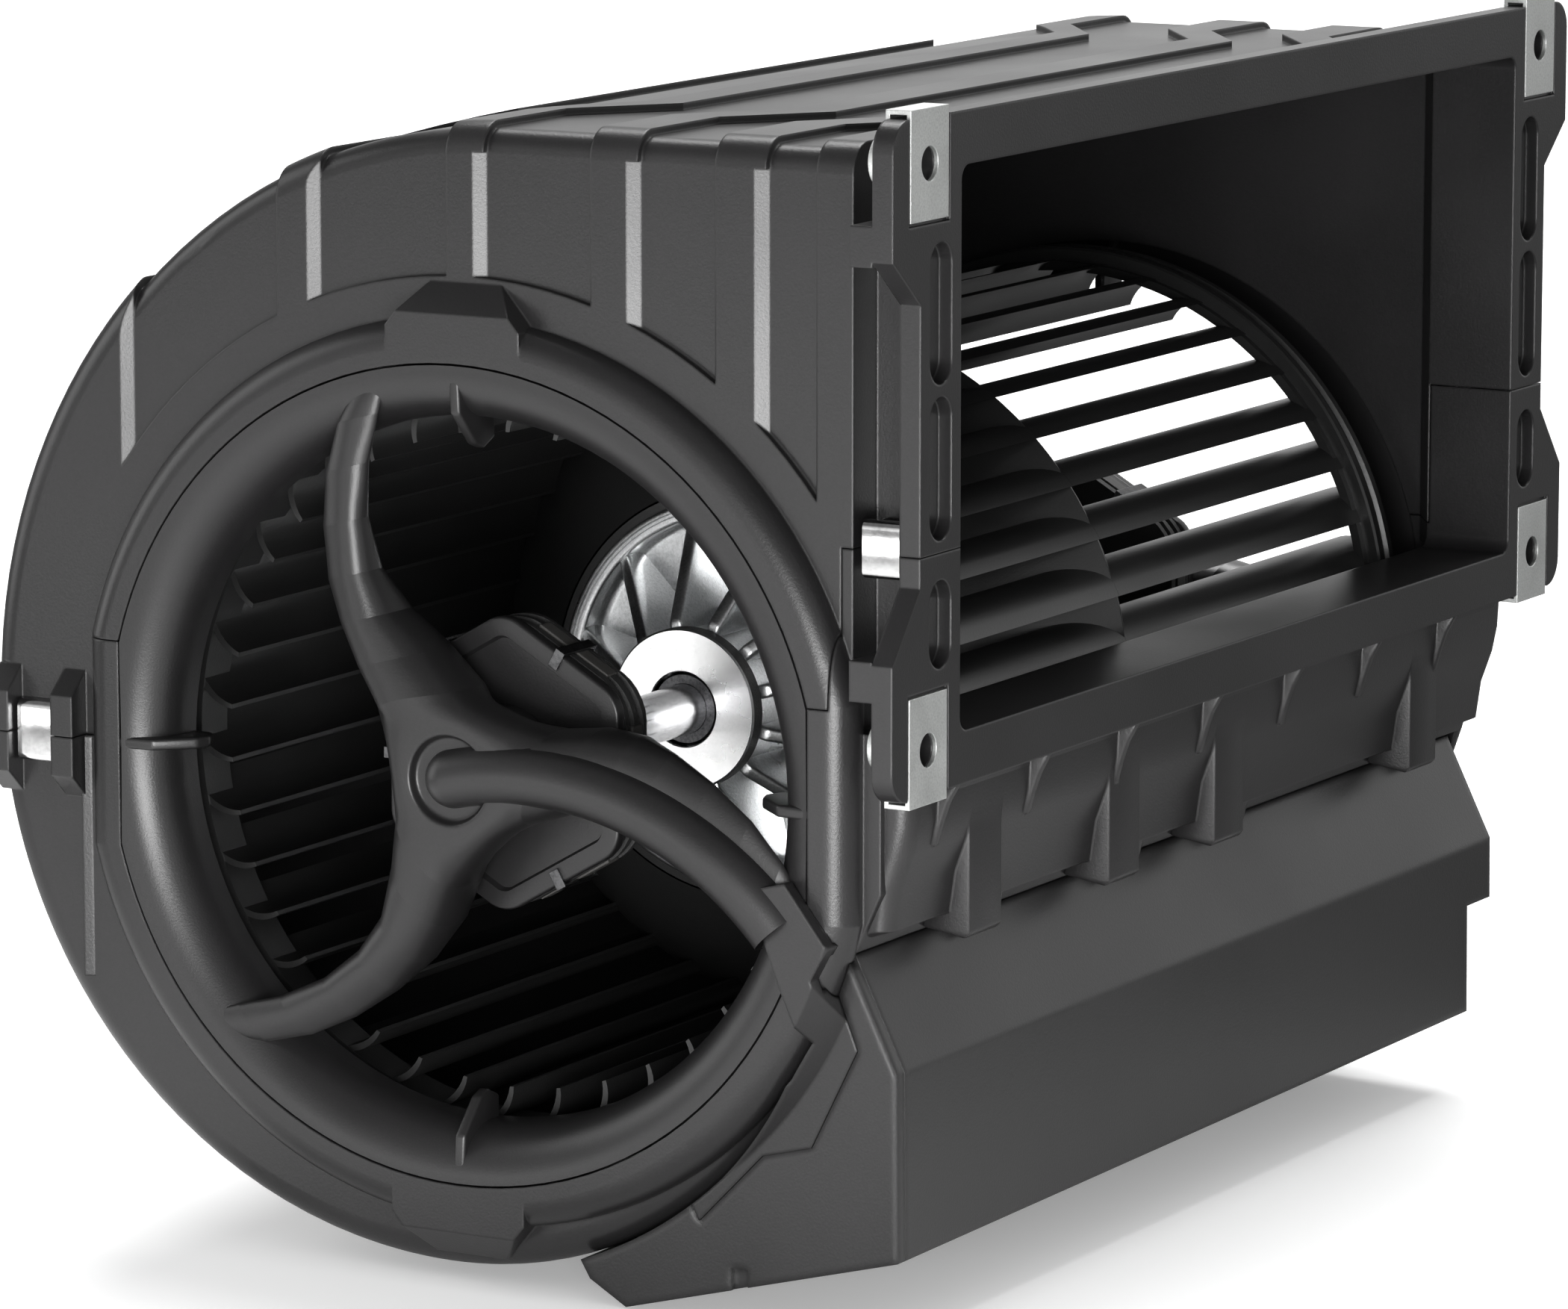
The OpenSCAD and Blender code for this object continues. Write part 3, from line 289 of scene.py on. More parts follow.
def joined(shape, other):
    """Adds another shape to this one."""
    mesh = bpy.data.meshes.new("part")
    other.to_mesh(mesh)
    other.free()
    shape.from_mesh(mesh)
    bpy.data.meshes.remove(mesh)


def smoothed(cage, levels):
    """The cage's own subdivision surface, as a mesh."""
    mesh = bpy.data.meshes.new("cage")
    cage.to_mesh(mesh)
    cage.free()
    holder = bpy.data.objects.new("cage", mesh)
    bpy.context.scene.collection.objects.link(holder)
    surface = holder.modifiers.new("surface", "SUBSURF")
    surface.levels = surface.render_levels = levels
    drawn = holder.evaluated_get(bpy.context.evaluated_depsgraph_get())
    result = bpy.data.meshes.new_from_object(drawn)
    bpy.data.objects.remove(holder)
    bpy.data.meshes.remove(mesh)
    return result


def spider(arms):
    """Hub and arms: a hub polygon pulled out into an arm at each of its wide sides."""
    cage = bmesh.new()
    hub_rear = hub_front - hub_deep
    gap_turn = hub_gap_share * (arms[1] - arms[0])
    corners = []
    for turn in arms:
        corners += [cage.verts.new(around(turn, along, out, hub_front)) for along, out in hub_roots]
        corners.append(cage.verts.new(around(turn + gap_turn, hub_gap_r, 0, hub_front)))
    front = cage.faces.new(corners)
    extruded(cage, [front], [(v.co.copy(), v.co + Vector((0, hub_deep, 0))) for v in corners])
    for turn in arms:
        ring = [around(turn, along, out, h) for h in (hub_front, hub_rear) for along, out in hub_roots]
        patch = [f for f in cage.faces if len(f.verts) == 4
                 and all(min((v.co - p).length for p in ring) < touch for v in f.verts)]
        for along, bulge, ridge, hollow, edge, top, back in arm_stations:
            cut = ((hollow, edge), (ridge, top), (bulge, edge), (hollow, back), (ridge, back), (bulge, back))
            new = [around(turn, along, out, hub_front - deep) for out, deep in cut]
            patch = extruded(cage, patch, list(zip(ring, new)))
            ring = new
    hub_faces = [f for f in cage.faces if len(f.verts) == len(corners)]
    front = max(hub_faces, key=lambda f: -f.calc_center_median().y)
    turns = [math.atan2(loop.vert.co.z, loop.vert.co.x) for loop in front.loops]
    way = 1 if (turns[1] - turns[0]) % math.tau < math.pi else -1
    for radius, sink in recess_rings:
        bmesh.ops.inset_region(cage, faces=[front], thickness=recess_step)
        for i, loop in enumerate(front.loops):
            angle = turns[0] + way * math.tau * i / len(turns)
            loop.vert.co = (radius * math.cos(angle), sink - hub_front, radius * math.sin(angle))
    bmesh.ops.recalc_face_normals(cage, faces=cage.faces)
    return smoothed(cage, 2)


def bell_mouth():
    """The turned inlet nozzle, cut flat at both sides where it meets the rim's seam."""
    bell = bmesh.new()
    centre = (seam_r, throat_y)
    section = arc(centre, bell_r, 90, 180, 14)
    section += [(throat_r, throat_y - bell_skirt), (throat_r + bell_wall, throat_y - bell_skirt)]
    section += arc(centre, bell_r - bell_wall, 180, 108, 10)
    section += [(seam_r - lip_w, rim_face - lip_deep), (seam_r, rim_face - lip_deep)]
    turned(bell, section, steps=128)
    for side in (-1, 1):
        cut = bmesh.ops.bisect_plane(
            bell, geom=bell.verts[:] + bell.edges[:] + bell.faces[:], dist=0.001,
            plane_co=(side * seam_flat, 0, 0), plane_no=(side, 0, 0), clear_outer=True)
        bmesh.ops.holes_fill(bell, edges=parts_of(cut["geom_cut"], bmesh.types.BMEdge))
    return bell


def hexagon(radius):
    turns = [math.radians(60 * i) for i in range(6)]
    return [(radius * math.sin(t), radius * math.cos(t)) for t in turns]


def axial_edges(shape):
    """The edges of a shape that run along the fan axis."""
    return [e for e in shape.edges if abs(e.verts[0].co.y - e.verts[1].co.y) > touch]


def mount_seat():
    """The hexagonal plate behind the hub, with a shallow well in its front."""
    seat = bmesh.new()
    raised(seat, [(x, -seat_back, z) for x, z in hexagon(seat_r)], (0, seat_back - seat_front, 0))
    eased(seat, axial_edges(seat), seat_corner, 6)
    sharp_turn = 1.2
    eased(seat, [e for e in seat.edges if e.calc_face_angle(0) > sharp_turn], seat_edge, 3)
    bmesh.ops.recalc_face_normals(seat, faces=seat.faces)
    face = max(seat.faces, key=lambda f: f.calc_area() * -f.normal.y)
    bmesh.ops.inset_region(seat, faces=[face], thickness=seat_border)
    bmesh.ops.inset_region(seat, faces=[face], thickness=well_slope, depth=-well_depth)
    return seat


def inlet_support(arms):
    shape = bell_mouth()
    for turn in range(0, 360, 90):
        fin = bmesh.new()
        raised(fin, [(-fin_t / 2, -height, r) for height, r in fin_side], (fin_t, 0, 0))
        eased(fin, fin.edges[:], fin_edge, 3)
        swung(fin, turn)
        joined(shape, fin)
    mesh = spider(arms)
    shape.from_mesh(mesh)
    bpy.data.meshes.remove(mesh)
    joined(shape, mount_seat())
    stem = bmesh.new()
    bmesh.ops.create_cone(stem, cap_ends=True, segments=32, radius1=stem_r, radius2=stem_r, depth=stem_len)
    bmesh.ops.rotate(stem, verts=stem.verts, matrix=Matrix.Rotation(math.pi / 2, 3, "X"))
    bmesh.ops.translate(stem, verts=stem.verts, vec=(0, -seat_front - stem_out, 0))
    joined(shape, stem)
    return shape


def far_side(shape):
    """Mirrors a shape of the near side to the far side."""
    bmesh.ops.scale(shape, verts=shape.verts, vec=(1, -1, 1))
    bmesh.ops.reverse_faces(shape, faces=shape.faces)
    return shape


def finished_piece(name, shape, material, body, slot, *replaced):
    """A shape drawn in millimetres about the fan axis, set in the frame as one piece."""
    merge_gap, smooth_angle = 0.002, 32.0
    bmesh.ops.remove_doubles(shape, verts=shape.verts, dist=merge_gap)
    bmesh.ops.recalc_face_normals(shape, faces=shape.faces)
    bmesh.ops.scale(shape, verts=shape.verts, vec=(MM, MM, MM))
    bmesh.ops.translate(shape, verts=shape.verts, vec=(axis_x, 0, axis_z))
    mesh = bpy.data.meshes.new(name)
    shape.to_mesh(mesh)
    shape.free()
    mesh.shade_smooth()
    mesh.set_sharp_from_angle(angle=math.radians(smooth_angle))
    mesh.materials.append(material)
    piece = bpy.data.objects.new(name, mesh)
    bpy.context.scene.collection.objects.link(piece)
    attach(piece, body)
    if replaced:
        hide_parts(*replaced)
    return piece


finished_piece("inlet_support_near_moulding", inlet_support(near_arms), support_plastic, "housing",
               "support_plastic", "inlet_support_near")
finished_piece("inlet_support_far_moulding", far_side(inlet_support(far_arms)), support_plastic, "housing",
               "support_plastic", "inlet_support_far")

# Apron and clip ridges: the lower half's wall below the outlet, in the housing's own plastic, with
# the round corners, upright ribs, gussets and lip over the control box that the mould gives it,
# and the low ridge that the mould leaves beside each rear spring clip.
apron_rows = ((131.4, 6.0), (130.9, -3.0), (129.4, -10.5), (126.0, -20.0), (124.4, -31.0), (115.5, -34.0))
apron_half, apron_corner, apron_back = 184.0, 5.5, 100.0
apron_head_x, apron_head = apron_rows[0]
apron_foot_x = apron_rows[4][0]
rib_places, rib_w, rib_front, rib_foot = (-142.0, -62.0, 2.0, 129.5), 18.0, 130.4, -37.8
rib_side = ((apron_head_x - 2, apron_head), (rib_front, apron_head - 3), (rib_front, rib_foot + 1.5),
            (rib_front - 1.5, rib_foot), (apron_foot_x - 8, rib_foot + 2))
gusset_side = ((129.0, 7.0), (137.0, 7.0), (134.0, 1.5), (132.2, -3.5), (130.4, -10.0), (128.0, -10.0))
gusset_count, gusset_pitch, gusset_shift, gusset_t = 7, 51.0, -16.0, 2.7
plate_edge = 0.5
wall_face = rim_face - 7.5
ridge_section = ((-123.7, -0.3), (-122.9, 1.3), (-119.6, -0.3))
ridge_low, ridge_high = -67.0, -0.6


def lofted(shape, rows):
    """A skin that runs from row to row of points, each row as long as the first."""
    corners = [shape.verts.new(point) for point in rows[0]]
    edges = [shape.edges.new(pair) for pair in zip(corners, corners[1:])]
    for old, new in zip(rows, rows[1:]):
        made = bmesh.ops.extrude_edge_only(shape, edges=edges)["geom"]
        for corner in parts_of(made, bmesh.types.BMVert):
            at = min(range(len(old)), key=lambda i: (old[i] - corner.co).length)
            corner.co = new[at]
        edges = [e for e in parts_of(made, bmesh.types.BMEdge)
                 if all(min((v.co - point).length for point in new) < touch for v in e.verts)]


def apron_row(x, z):
    turn = arc((x - apron_corner, apron_corner - apron_half), apron_corner, -90, 0, 8)
    plan = [(apron_back, -apron_half)] + turn + [(x, 0.0)]
    plan += [(px, -py) for px, py in reversed(plan[:-1])]
    return [Vector((px, py, z)) for px, py in plan]


def upright(side, middle, width):
    """A plate across the fan axis, with a given outline and rounded edges."""
    plate = bmesh.new()
    raised(plate, [(x, middle - width / 2, z) for x, z in side], (0, width, 0))
    eased(plate, plate.edges[:], plate_edge, 2)
    return plate


apron = bmesh.new()
lofted(apron, [apron_row(x, z) for x, z in apron_rows])
for middle in rib_places:
    joined(apron, upright(rib_side, middle, rib_w))
for i in range(gusset_count):
    middle = (i - (gusset_count - 1) / 2) * gusset_pitch + gusset_shift
    joined(apron, upright(gusset_side, middle, gusset_t))
for side in (-1, 1):
    ridge = bmesh.new()
    foot = [(x, side * (wall_face + height), ridge_low) for x, height in ridge_section]
    raised(ridge, foot, (0, 0, ridge_high - ridge_low))
    joined(apron, ridge)
finished_piece("lower_housing_details", apron, housing_plastic, "housing", "housing_plastic")

# Cable duct: a half-round moulding in the supports' plastic, clipped along one arm, with a
# domed start in the hub's recess, that takes the motor's leads out to the rim.
duct_r, duct_base, duct_mid = 8.0, rim_face - 2.0, rim_face - 0.5
duct_bend, duct_lift, duct_sweep = 100.0, math.radians(13.3), math.radians(62.0)
duct_centre = Vector((duct_bend * math.sin(duct_lift), 0, -duct_bend * math.cos(duct_lift)))
duct_across = Vector((-math.sin(duct_lift), 0, math.cos(duct_lift)))
half_round = [(duct_r, duct_base)] + arc((0, duct_mid), duct_r, 0, 180, 14) + [(-duct_r, duct_base)]


def swept(shape, section, centre, angle, steps):
    """An open section, across the duct's start, swept about a centre."""
    corners = [shape.verts.new(duct_across * out + Vector((0, -height, 0))) for out, height in section]
    sides = [shape.edges.new(pair) for pair in zip(corners, corners[1:])]
    bmesh.ops.spin(shape, geom=corners + sides, cent=centre, axis=(0, 1, 0), angle=angle, steps=steps)


duct = bmesh.new()
swept(duct, half_round, duct_centre, duct_sweep, 40)
swept(duct, half_round[:len(half_round) // 2 + 1], (0, 0, 0), -math.pi, 16)
bmesh.ops.remove_doubles(duct, verts=duct.verts, dist=touch)
finished_piece("arm_cable_duct_moulding", duct, support_plastic, "housing", "support_plastic",
               "arm_cable_duct")

# Arm cover: a folded moulding, a little glossier than the supports, that leads the cable from
# the duct over the rim. It is pushed on to the arm's end and runs down to the control box.
cover_plastic = plastic("cover_plastic", (22, 22, 22), (33, 32, 33), 1700.0, (0.28, 0.36), 0.00004, 0.0012)
dress(cover_plastic, "arm_end_cover")

# Control box: a deep tray moulding under the outlet, shut by an end cover, that holds the
# motor's electronics. The board inside is glass laminate with moulded part cases on it.
box_plastic = plastic("box_plastic", (23, 23, 23), (35, 34, 35), 1400.0, (0.32, 0.41), 0.00005, 0.003)
dress(box_plastic, "control_box", "box_end_cover")
laminate = plastic("board_laminate", (22, 62, 40), (34, 84, 52), 900.0, (0.30, 0.42), 0.00003, 0.0002)
dress(laminate, "control_board")
part_cases = plastic("board_part_cases", (34, 34, 36), (58, 58, 62), 1200.0, (0.30, 0.50), 0.00003, 0.0003)
dress(part_cases, "board_parts")

# Rubber mounts: hexagonal blocks of carbon-black rubber moulded on to the supports' seats,
# with two grooves round them, that hold the axle and keep the motor's hum out of the housing.
damper_rubber = plastic("damper_rubber", (20, 20, 20), (36, 36, 36), 2200.0, (0.50, 0.70), 0.00018)
groove_share, block_corner = 0.955, 8.0
block_rows = (
    (0.1, 1.0), (2.2, 1.0), (2.7, groove_share), (3.8, groove_share), (4.3, 1.0), (6.8, 1.0),
    (7.3, groove_share), (8.4, groove_share), (8.9, 1.0), (11.0, 1.0))


def rubber_block():
    shape = bmesh.new()
    rings = [[Vector((x * share, deep - seat_back, z * share)) for x, z in hexagon(seat_r)]
             for deep, share in block_rows]
    patch = [shape.faces.new([shape.verts.new(point) for point in rings[0]])]
    for ring, new in zip(rings, rings[1:]):
        patch = extruded(shape, patch, list(zip(ring, new)))
    eased(shape, axial_edges(shape), block_corner, 5)
    return shape


finished_piece("rubber_mount_near", rubber_block(), damper_rubber, "housing", "damper_rubber", "damper_near")
finished_piece("rubber_mount_far", far_side(rubber_block()), damper_rubber, "housing", "damper_rubber",
               "damper_far")

# Strips: smooth bars of hard grey plastic, let into the mounts' sides, which spread the
# steel straps' pull along the rubber.
strip_plastic = plastic("strip_plastic", (52, 51, 50), (70, 69, 67), 1500.0, (0.40, 0.52), 0.00005, 0.0008)
dress(strip_plastic, "damper_strips")


# Axle: a ground and hollow steel shaft that stands still, clamped in the rubber mounts.
# The stator sits on its middle, and the motor's leads leave through its bore.
def worn_metal():
    """Skin of a metal: fine pits and slow clouds that change its tone and gloss."""
    group, given, skin = skin_group("worn_metal", "Dull")
    cloud_scale = 60.0
    pits = noise(group, given["Vector"], given["Grain"], detail=4.0, rough=0.65)
    cloud = noise(group, given["Vector"], cloud_scale, detail=4.0)
    share = ranged(group, pits, 0.0, 1.0, start=0.40, stop=0.72)
    colour = mixed(group, share, given["Tone"], given["Dull"])
    gloss = ranged(group, cloud, given["Gloss Low"], given["Gloss High"])
    for title, value in (("Color", colour), ("Roughness", gloss), ("Height", pits)):
        group.links.new(value, skin[title])
    return group


metal_group = worn_metal()


def metal(name, tone, dull, grain, gloss, depth, edge=0.0):
    made = skinned(name, metal_group, gloss, depth, edge, tone=linear(*tone), dull=linear(*dull), grain=grain)
    made.node_tree.nodes["Principled BSDF"].inputs["Metallic"].default_value = 1.0
    return made


axle_steel = metal("axle_steel", (226, 226, 228), (204, 204, 206), 900.0, (0.16, 0.26), 0.00001, 0.0004)
dress(axle_steel, "axle")

# Retaining rings and straps: bright spring steel rings, sprung into the axle's grooves, and
# blued steel straps, bent over the mounts' sides.
bright_steel = metal("bright_steel", (225, 225, 226), (196, 196, 198), 700.0, (0.10, 0.2), 0.00001, 0.0003)
dress(bright_steel, "axle_circlips")
strap_steel = metal("strap_steel", (96, 96, 97), (64, 64, 65), 700.0, (0.22, 0.34), 0.00001, 0.0003)
dress(strap_steel, "damper_straps")

# Bearings: two deep-groove ball bearings of hardened steel, pressed into the rotor caps'
# bosses. Their inner rings sit on the still axle.
bearing_steel = metal("bearing_steel", (120, 120, 122), (70, 70, 72), 1400.0, (0.3, 0.5), 0.00006, 0.0003)
dress(bearing_steel, "bearing_inner_rings", "bearing_outer_rings", "bearing_balls")

# Stator: a stack of electrical sheet pressed on to the axle, with a coil of enamelled
# copper wire wound on each tooth.
stator_sheet = metal("stator_sheet", (120, 120, 124), (90, 90, 94), 800.0, (0.35, 0.5), 0.00003, 0.0004)
dress(stator_sheet, "stator_core")
copper_wire = metal("copper_wire", (190, 110, 60), (150, 80, 42), 600.0, (0.25, 0.4), 0.00003, 0.0004)
dress(copper_wire, "stator_windings")

# Rotor: a drawn steel yoke with ceramic magnets glued inside, held between the two caps,
# which turns round the stator.
yoke_steel = metal("yoke_steel", (128, 128, 132), (98, 98, 102), 800.0, (0.35, 0.5), 0.00003, 0.0004)
dress(yoke_steel, "rotor_yoke")
magnet_grey = metal("magnet_grey", (92, 92, 96), (70, 70, 74), 1500.0, (0.4, 0.55), 0.00003, 0.0003)
dress(magnet_grey, "rotor_magnets")

# Rotor caps: die-cast aluminium with sloping ribs from the bearing boss to the rim. The cast
# skin is grainy, the boss's face is turned bright, and a rubber seal is pressed round its side.
cast_aluminium = metal("cast_aluminium", (232, 233, 234), (196, 198, 198), 1500.0, (0.26, 0.38), 0.00006)
turned_aluminium = metal("turned_aluminium", (252, 252, 252), (244, 244, 244), 1500.0, (0.22, 0.3), 0.00001)
cap_low, cap_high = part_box("rotor_cap_near")
cap_top, cap_web = -cap_low.y / MM, -cap_high.y / MM
web_front = cap_web + 3.0
cap_r, cap_rim_y = 55.0, cap_top - 27.0
boss_r, hole_r, bearing_r, seat_deep = 22.5, 10.5, 17.0, 1.0
seal_w, seal_t = 5.0, 1.4
foot_bend, web_bend, rim_bend = 4.0, 2.5, 1.0
cap_wall = 5.0
cap_ribs, rib_t, rib_edge, rib_head = 12, 4.0, 1.1, cap_top - 6.0


def rotor_cap():
    shape = bmesh.new()
    neck_r = boss_r - seal_t
    section = [(hole_r, cap_top - seat_deep), (hole_r, cap_top - 0.3), (hole_r + 0.3, cap_top)]
    section += [(boss_r - 0.5, cap_top), (boss_r, cap_top - 0.5), (boss_r, cap_top - seal_w)]
    section += [(neck_r, cap_top - seal_w), (neck_r, web_front + foot_bend)]
    section += arc((neck_r + foot_bend, web_front + foot_bend), foot_bend, 180, 270, 5)
    section += arc((cap_r - cap_wall - web_bend, web_front + web_bend), web_bend, 270, 360, 5)
    section += arc((cap_r - cap_wall + rim_bend, cap_rim_y - rim_bend), rim_bend, 180, 90, 3)
    section += [(cap_r - 3, cap_rim_y), (cap_r - 2.6, cap_rim_y - 0.7), (cap_r - 1.9, cap_rim_y - 0.7)]
    section += [(cap_r - 1.5, cap_rim_y)] + arc((cap_r - rim_bend, cap_rim_y - rim_bend), rim_bend, 90, 0, 3)
    section += [(cap_r, cap_web), (bearing_r, cap_web), (bearing_r, cap_top - seat_deep)]
    turned(shape, section, steps=96)
    rib_side = ((boss_r - 2, web_front - 1), (boss_r - 2, rib_head), (boss_r + 1.5, rib_head),
                (cap_r - 4, cap_rim_y - 1.4), (cap_r - 4, web_front - 1))
    for i in range(cap_ribs):
        rib = bmesh.new()
        raised(rib, [(r, -height, -rib_t / 2) for r, height in rib_side], (0, 0, rib_t))
        eased(rib, rib.edges[:], rib_edge, 3)
        swung(rib, 360 * (i + 0.5) / cap_ribs)
        joined(shape, rib)
    return shape


def finished_cap(cap):
    """Gives the boss its bright face and its seal."""
    cap.data.materials.append(turned_aluminium)
    cap.data.materials.append(damper_rubber)
    skin_deep = 0.2
    for face in cap.data.polygons:
        depth = cap_top - abs(face.center.y) / MM
        reach = math.hypot(face.center.x - axis_x, face.center.z - axis_z) / MM
        if depth < skin_deep:
            face.material_index = 1
        elif depth < seal_w and abs(reach - boss_r) < skin_deep:
            face.material_index = 2


finished_cap(finished_piece("rotor_cap_near_casting", rotor_cap(), cast_aluminium, "impeller",
                            "cast_aluminium", "rotor_cap_near"))
finished_cap(finished_piece("rotor_cap_far_casting", far_side(rotor_cap()), cast_aluminium, "impeller",
                            "cast_aluminium", "rotor_cap_far"))

# Impeller: two like mouldings of glass-filled nylon, each a domed disc with a drum of
# forward-curved blades and an end ring, screwed back to back on the rotor.
impeller_plastic = plastic("impeller_plastic", (24, 24, 24), (36, 36, 36), 1500.0, (0.28, 0.38), 0.00004)
drum_len = -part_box("impeller_near")[0].y / MM
blade_out, blade_in, blade_lean, blade_count = 100.0, 88.5, 80.0, 38
blade_tip, blade_root, blade_phase, blade_short = 3.6, 1.2, 4.3, 0.4
blade_arc = (blade_out - blade_in) / math.sin(math.radians(blade_lean))
dome_foot, dome_head, dome_bulge, dome_t = (blade_out, 0.0), (57.5, 46.0), 5.4, 2.5
dome_base = 0.05
collar_r, collar_len = 55.1, 7.0
ring_r, ring_w, shroud_r, shroud_w, ring_wall = 104.5, 10.0, 100.4, 12.5, 2.6
ring_edge, bead_w, groove_deep = 0.6, 3.2, 1.2
# The dome is an arc over the chord from its foot to its head.
chord = math.dist(dome_foot, dome_head)
dome_r = (chord * chord / 4 + dome_bulge ** 2) / (2 * dome_bulge)
lean_x, lean_y = dome_head[1] / chord, (dome_foot[0] - dome_head[0]) / chord
dome_c = ((dome_foot[0] + dome_head[0]) / 2 - (dome_r - dome_bulge) * lean_x,
          dome_head[1] / 2 - (dome_r - dome_bulge) * lean_y)
dome_from = math.degrees(math.atan2(-dome_c[1], dome_foot[0] - dome_c[0]))
dome_to = math.degrees(math.atan2(dome_head[1] - dome_c[1], dome_head[0] - dome_c[0]))


def dome_height(r):
    """Height of the disc's middle surface at a radius."""
    reach = max((dome_r - dome_t / 2) ** 2 - (r - dome_c[0]) ** 2, 0.0)
    return max(dome_c[1] + math.sqrt(reach), dome_base)


def blade_drum():
    """One blade, thicker at its outer edge, from the dome to the end ring, repeated round the axis."""
    blade = bmesh.new()
    line = [(blade_in + r, z - blade_arc) for z, r in arc((0, 0), blade_arc, 0, blade_lean, 9)]
    thick = [blade_root + (blade_tip - blade_root) * i / (len(line) - 1) for i in range(len(line))]
    loop = line + [(r, z - t) for (r, z), t in reversed(list(zip(line, thick)))]
    foot = [blade.verts.new((r, -dome_height(math.hypot(r, z)), z)) for r, z in loop]
    made = bmesh.ops.extrude_face_region(blade, geom=[blade.faces.new(foot)])["geom"]
    for corner in parts_of(made, bmesh.types.BMVert):
        corner.co.y = blade_short - drum_len
    bmesh.ops.recalc_face_normals(blade, faces=blade.faces)
    swung(blade, blade_phase)
    bmesh.ops.spin(blade, geom=blade.verts[:] + blade.edges[:] + blade.faces[:], cent=(0, 0, 0),
                   axis=(0, 1, 0), angle=math.tau * (blade_count - 1) / blade_count,
                   steps=blade_count - 1, use_duplicate=True)
    return blade


def impeller_half():
    shape = bmesh.new()
    head = dome_head[1]
    disc = arc(dome_c, dome_r, dome_from, dome_to, 24)
    disc += [(dome_head[0] + 0.5, head), (collar_r, head), (collar_r, head - collar_len)]
    disc += [(dome_head[0] - 0.5, head - collar_len)]
    disc += arc(dome_c, dome_r - dome_t, dome_to - 2.0, dome_from + 1.0, 24)
    turned(shape, [(r, max(height, dome_base)) for r, height in disc], steps=128)
    inner, base = shroud_r - ring_wall, drum_len - ring_w
    groove = bead_w + ring_edge
    rim = [(inner, drum_len - shroud_w), (shroud_r, drum_len - shroud_w), (shroud_r, base)]
    rim += [(ring_r - ring_edge, base), (ring_r, base + ring_edge), (ring_r, base + bead_w)]
    rim += [(ring_r - groove_deep, base + groove), (ring_r - groove_deep, drum_len - groove)]
    rim += [(ring_r, drum_len - bead_w), (ring_r, drum_len - ring_edge), (ring_r - ring_edge, drum_len)]
    turned(shape, rim + [(inner, drum_len)], steps=128)
    joined(shape, blade_drum())
    return shape


finished_piece("impeller_near_moulding", impeller_half(), impeller_plastic, "impeller", "impeller_plastic",
               "impeller_near")
finished_piece("impeller_far_moulding", far_side(impeller_half()), impeller_plastic, "impeller",
               "impeller_plastic", "impeller_far")

# Clip nuts: zinc-flaked spring steel, folded over the flange's edge at each bolt hole.
# Each is pushed on by hand and holds the thread for one bolt of the duct.
clip_sheet = metal("clip_sheet", (216, 218, 216), (190, 192, 191), 1500.0, (0.42, 0.55), 0.00002, 0.0004)
dress(clip_sheet, "clip_nuts")

# Spring clips: polished spring steel strips with both ends bent in, snapped over the ears on
# the parting line, which hold the two halves of the housing together.
polished_steel = metal("polished_steel", (232, 232, 232), (206, 206, 206), 500.0, (0.08, 0.16), 0.00001)
clip_stand, clip_bend, clip_t = 3.5, 2.2, 0.9
# Places of a clip: its middle, the parting line's height, its base, its width and its height.
clip_places = ((-136.0, 0.0, wall_face + 0.3, 12.0, 17.0), (123.7, 69.0, wall_face - 3.2, 10.8, 15.0))


def strip_clip(middle, seam, base, width, height):
    shape = bmesh.new()
    face, end = base + clip_stand, height / 2
    path = ((-end, base), (-end, face), (end, face), (end, base))
    line = [shape.verts.new((middle - width / 2, -h, seam + z)) for z, h in path]
    edges = [shape.edges.new(pair) for pair in zip(line, line[1:])]
    made = bmesh.ops.extrude_edge_only(shape, edges=edges)["geom"]
    bmesh.ops.translate(shape, verts=parts_of(made, bmesh.types.BMVert), vec=(width, 0, 0))
    eased(shape, [e for e in shape.edges if len(e.link_faces) == 2], clip_bend, 5)
    bmesh.ops.recalc_face_normals(shape, faces=shape.faces)
    bmesh.ops.solidify(shape, geom=shape.faces[:], thickness=clip_t)
    return shape


clips = bmesh.new()
for clip_place in clip_places:
    joined(clips, strip_clip(*clip_place))
    joined(clips, far_side(strip_clip(*clip_place)))
finished_piece("spring_clip_strips", clips, polished_steel, "housing", "bright_steel", "spring_clips")

# Studio: a pale paper floor just under the lowest edge, one broad sun overhead, a window at the
# left and one in front, and two low strips that the panels' edges and the side walls mirror. The
# surround is white to the camera, and to the gloss it is dim above and at the far left.
scene = bpy.context.scene
scene.view_settings.view_transform = "Standard"
white = (1.0, 1.0, 1.0, 1.0)

floor_span, floor_drop = 40.0, 0.0005
floor_mesh = bpy.data.meshes.new("floor")
grid = bmesh.new()
bmesh.ops.create_grid(grid, x_segments=1, y_segments=1, size=floor_span / 2)
bmesh.ops.translate(grid, verts=grid.verts, vec=(0, 0, cad_low.z - floor_drop))
grid.to_mesh(floor_mesh)
grid.free()
floor = bpy.data.objects.new("floor", floor_mesh)
scene.collection.objects.link(floor)

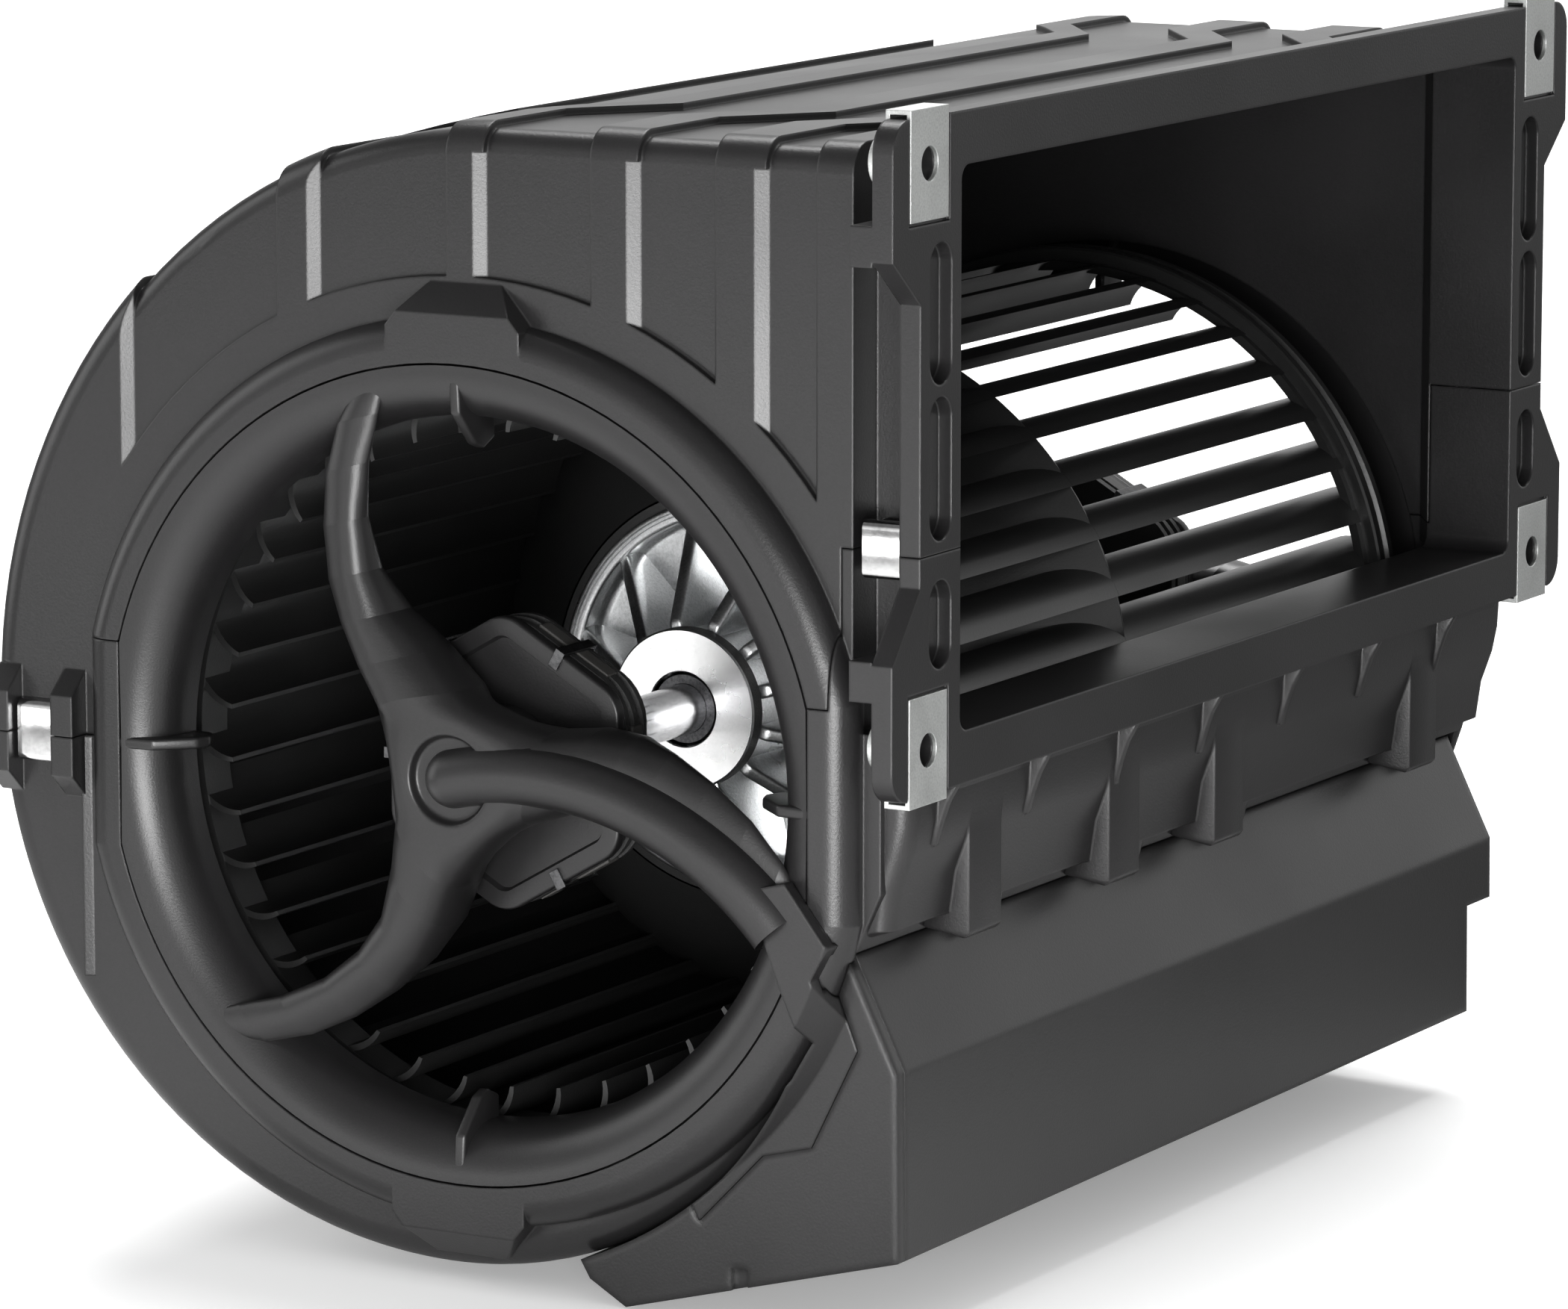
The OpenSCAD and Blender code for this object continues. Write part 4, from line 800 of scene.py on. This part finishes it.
# The camera sees plain pale paper. What the plastic mirrors is a pool of light painted into the paper's
# colour before the inlet: to every ray but the camera's, the paper is painted pale there and fades to a
# painted dark grey further off.
pool_place, pool_near, pool_far = (-0.1, -0.42, cad_low.z), 0.3, 0.75
paper_glow, fibre_scale = 0.22, 3.0
paper, tree, shader, place = started_material("paper_floor")
shader.inputs["Roughness"].default_value = 1.0
shader.inputs["Specular IOR Level"].default_value = 0.0
fibres = ranged(tree, noise(tree, place, fibre_scale), 0.0, 1.0)
pale_paper = mixed(tree, fibres, linear(248, 248, 248), linear(252, 252, 252))
pool = tree.nodes.new("ShaderNodeVectorMath")
pool.operation = "DISTANCE"
tree.links.new(place, pool.inputs[0])
pool.inputs[1].default_value = pool_place
# Painted light and shade: every ray but the camera's sees the paper pale near the pool's spot, fading to dark
# grey further off.
painted_pool_fade = ranged(tree, pool.outputs["Value"], 0.0, 1.0, start=pool_near, stop=pool_far)
painted_pool_paper = mixed(tree, painted_pool_fade, linear(250, 250, 250), linear(104, 104, 104))
eye = tree.nodes.new("ShaderNodeLightPath").outputs["Is Camera Ray"]
tree.links.new(mixed(tree, eye, painted_pool_paper, pale_paper), shader.inputs["Base Color"])
shader.inputs["Emission Color"].default_value = white
glow = ranged(tree, eye, 0.0, paper_glow, start=0.0, stop=1.0)
tree.links.new(glow, shader.inputs["Emission Strength"])
floor_mesh.materials.append(paper)

world = bpy.data.worlds.new("studio")
world.use_nodes = True
scene.world = world
sky = world.node_tree
ground = sky.nodes["Background"]
rays = sky.nodes.new("ShaderNodeLightPath").outputs
ways = sky.nodes.new("ShaderNodeSeparateXYZ")
sky.links.new(sky.nodes.new("ShaderNodeTexCoord").outputs["Generated"], ways.inputs[0])
room_light, wall_light, ceiling_light, far_left_light = 0.55, 1.0, 0.16, 0.1
walls = ranged(sky, ways.outputs["Z"], wall_light, ceiling_light, start=0.22, stop=0.62)
room = ranged(sky, ways.outputs["X"], far_left_light, walls, start=-0.95, stop=-0.45)
bounced = ranged(sky, rays["Is Glossy Ray"], room_light, room, start=0.0, stop=1.0)
strength = ranged(sky, rays["Is Camera Ray"], bounced, 1.0, start=0.0, stop=1.0)
sky.links.new(strength, ground.inputs["Strength"])
ground.inputs["Color"].default_value = white


def aimed(name, data, place, aim):
    """A lamp or a camera at a place, turned to look at its aim."""
    holder = bpy.data.objects.new(name, data)
    holder.location = place
    holder.rotation_mode = "QUATERNION"
    holder.rotation_quaternion = (Vector(aim) - Vector(place)).to_track_quat("-Z", "Y")
    scene.collection.objects.link(holder)
    return holder


overhead = bpy.data.lights.new("overhead", "SUN")
overhead.energy = 3.4
overhead.angle = math.radians(40.0)
aimed("overhead", overhead, (0, 0, 0), (0.2, -0.5, -1.0))

# Each soft light's name, place, aim, width, height and power.
softboxes = (
    ("left_window", (-1.7, -0.6, 0.35), (-0.14, 0, -0.06), 0.9, 1.5, 8.0),
    ("front_window", (0.9, -2.1, 0.1), (-0.14, 0, -0.09), 0.8, 0.6, 12.0),
    ("front_strip", (0.24, -0.9, -0.135), (-0.16, -0.1, -0.025), 0.44, 0.19, 6.0),
    ("low_strip", (-0.6, -1.15, -0.165), (-0.08, 0, -0.12), 0.8, 0.14, 1.1))
for name, place, aim, width, height, watts in softboxes:
    box = bpy.data.lights.new(name, "AREA")
    box.shape = "RECTANGLE"
    box.size = width
    box.size_y = height
    box.energy = watts
    aimed(name, box, place, aim)

# Camera: a long lens, a little above the outlet and to the right of the near inlet, set
# about two metres off so that the perspective stays faint.
long_lens = bpy.data.cameras.new("camera")
long_lens.lens = 179.0
long_lens.sensor_width = 36.0
scene.camera = aimed("camera", long_lens, (0.9276, -1.9073, 0.2822), (-0.1461, -0.0037, -0.0898))
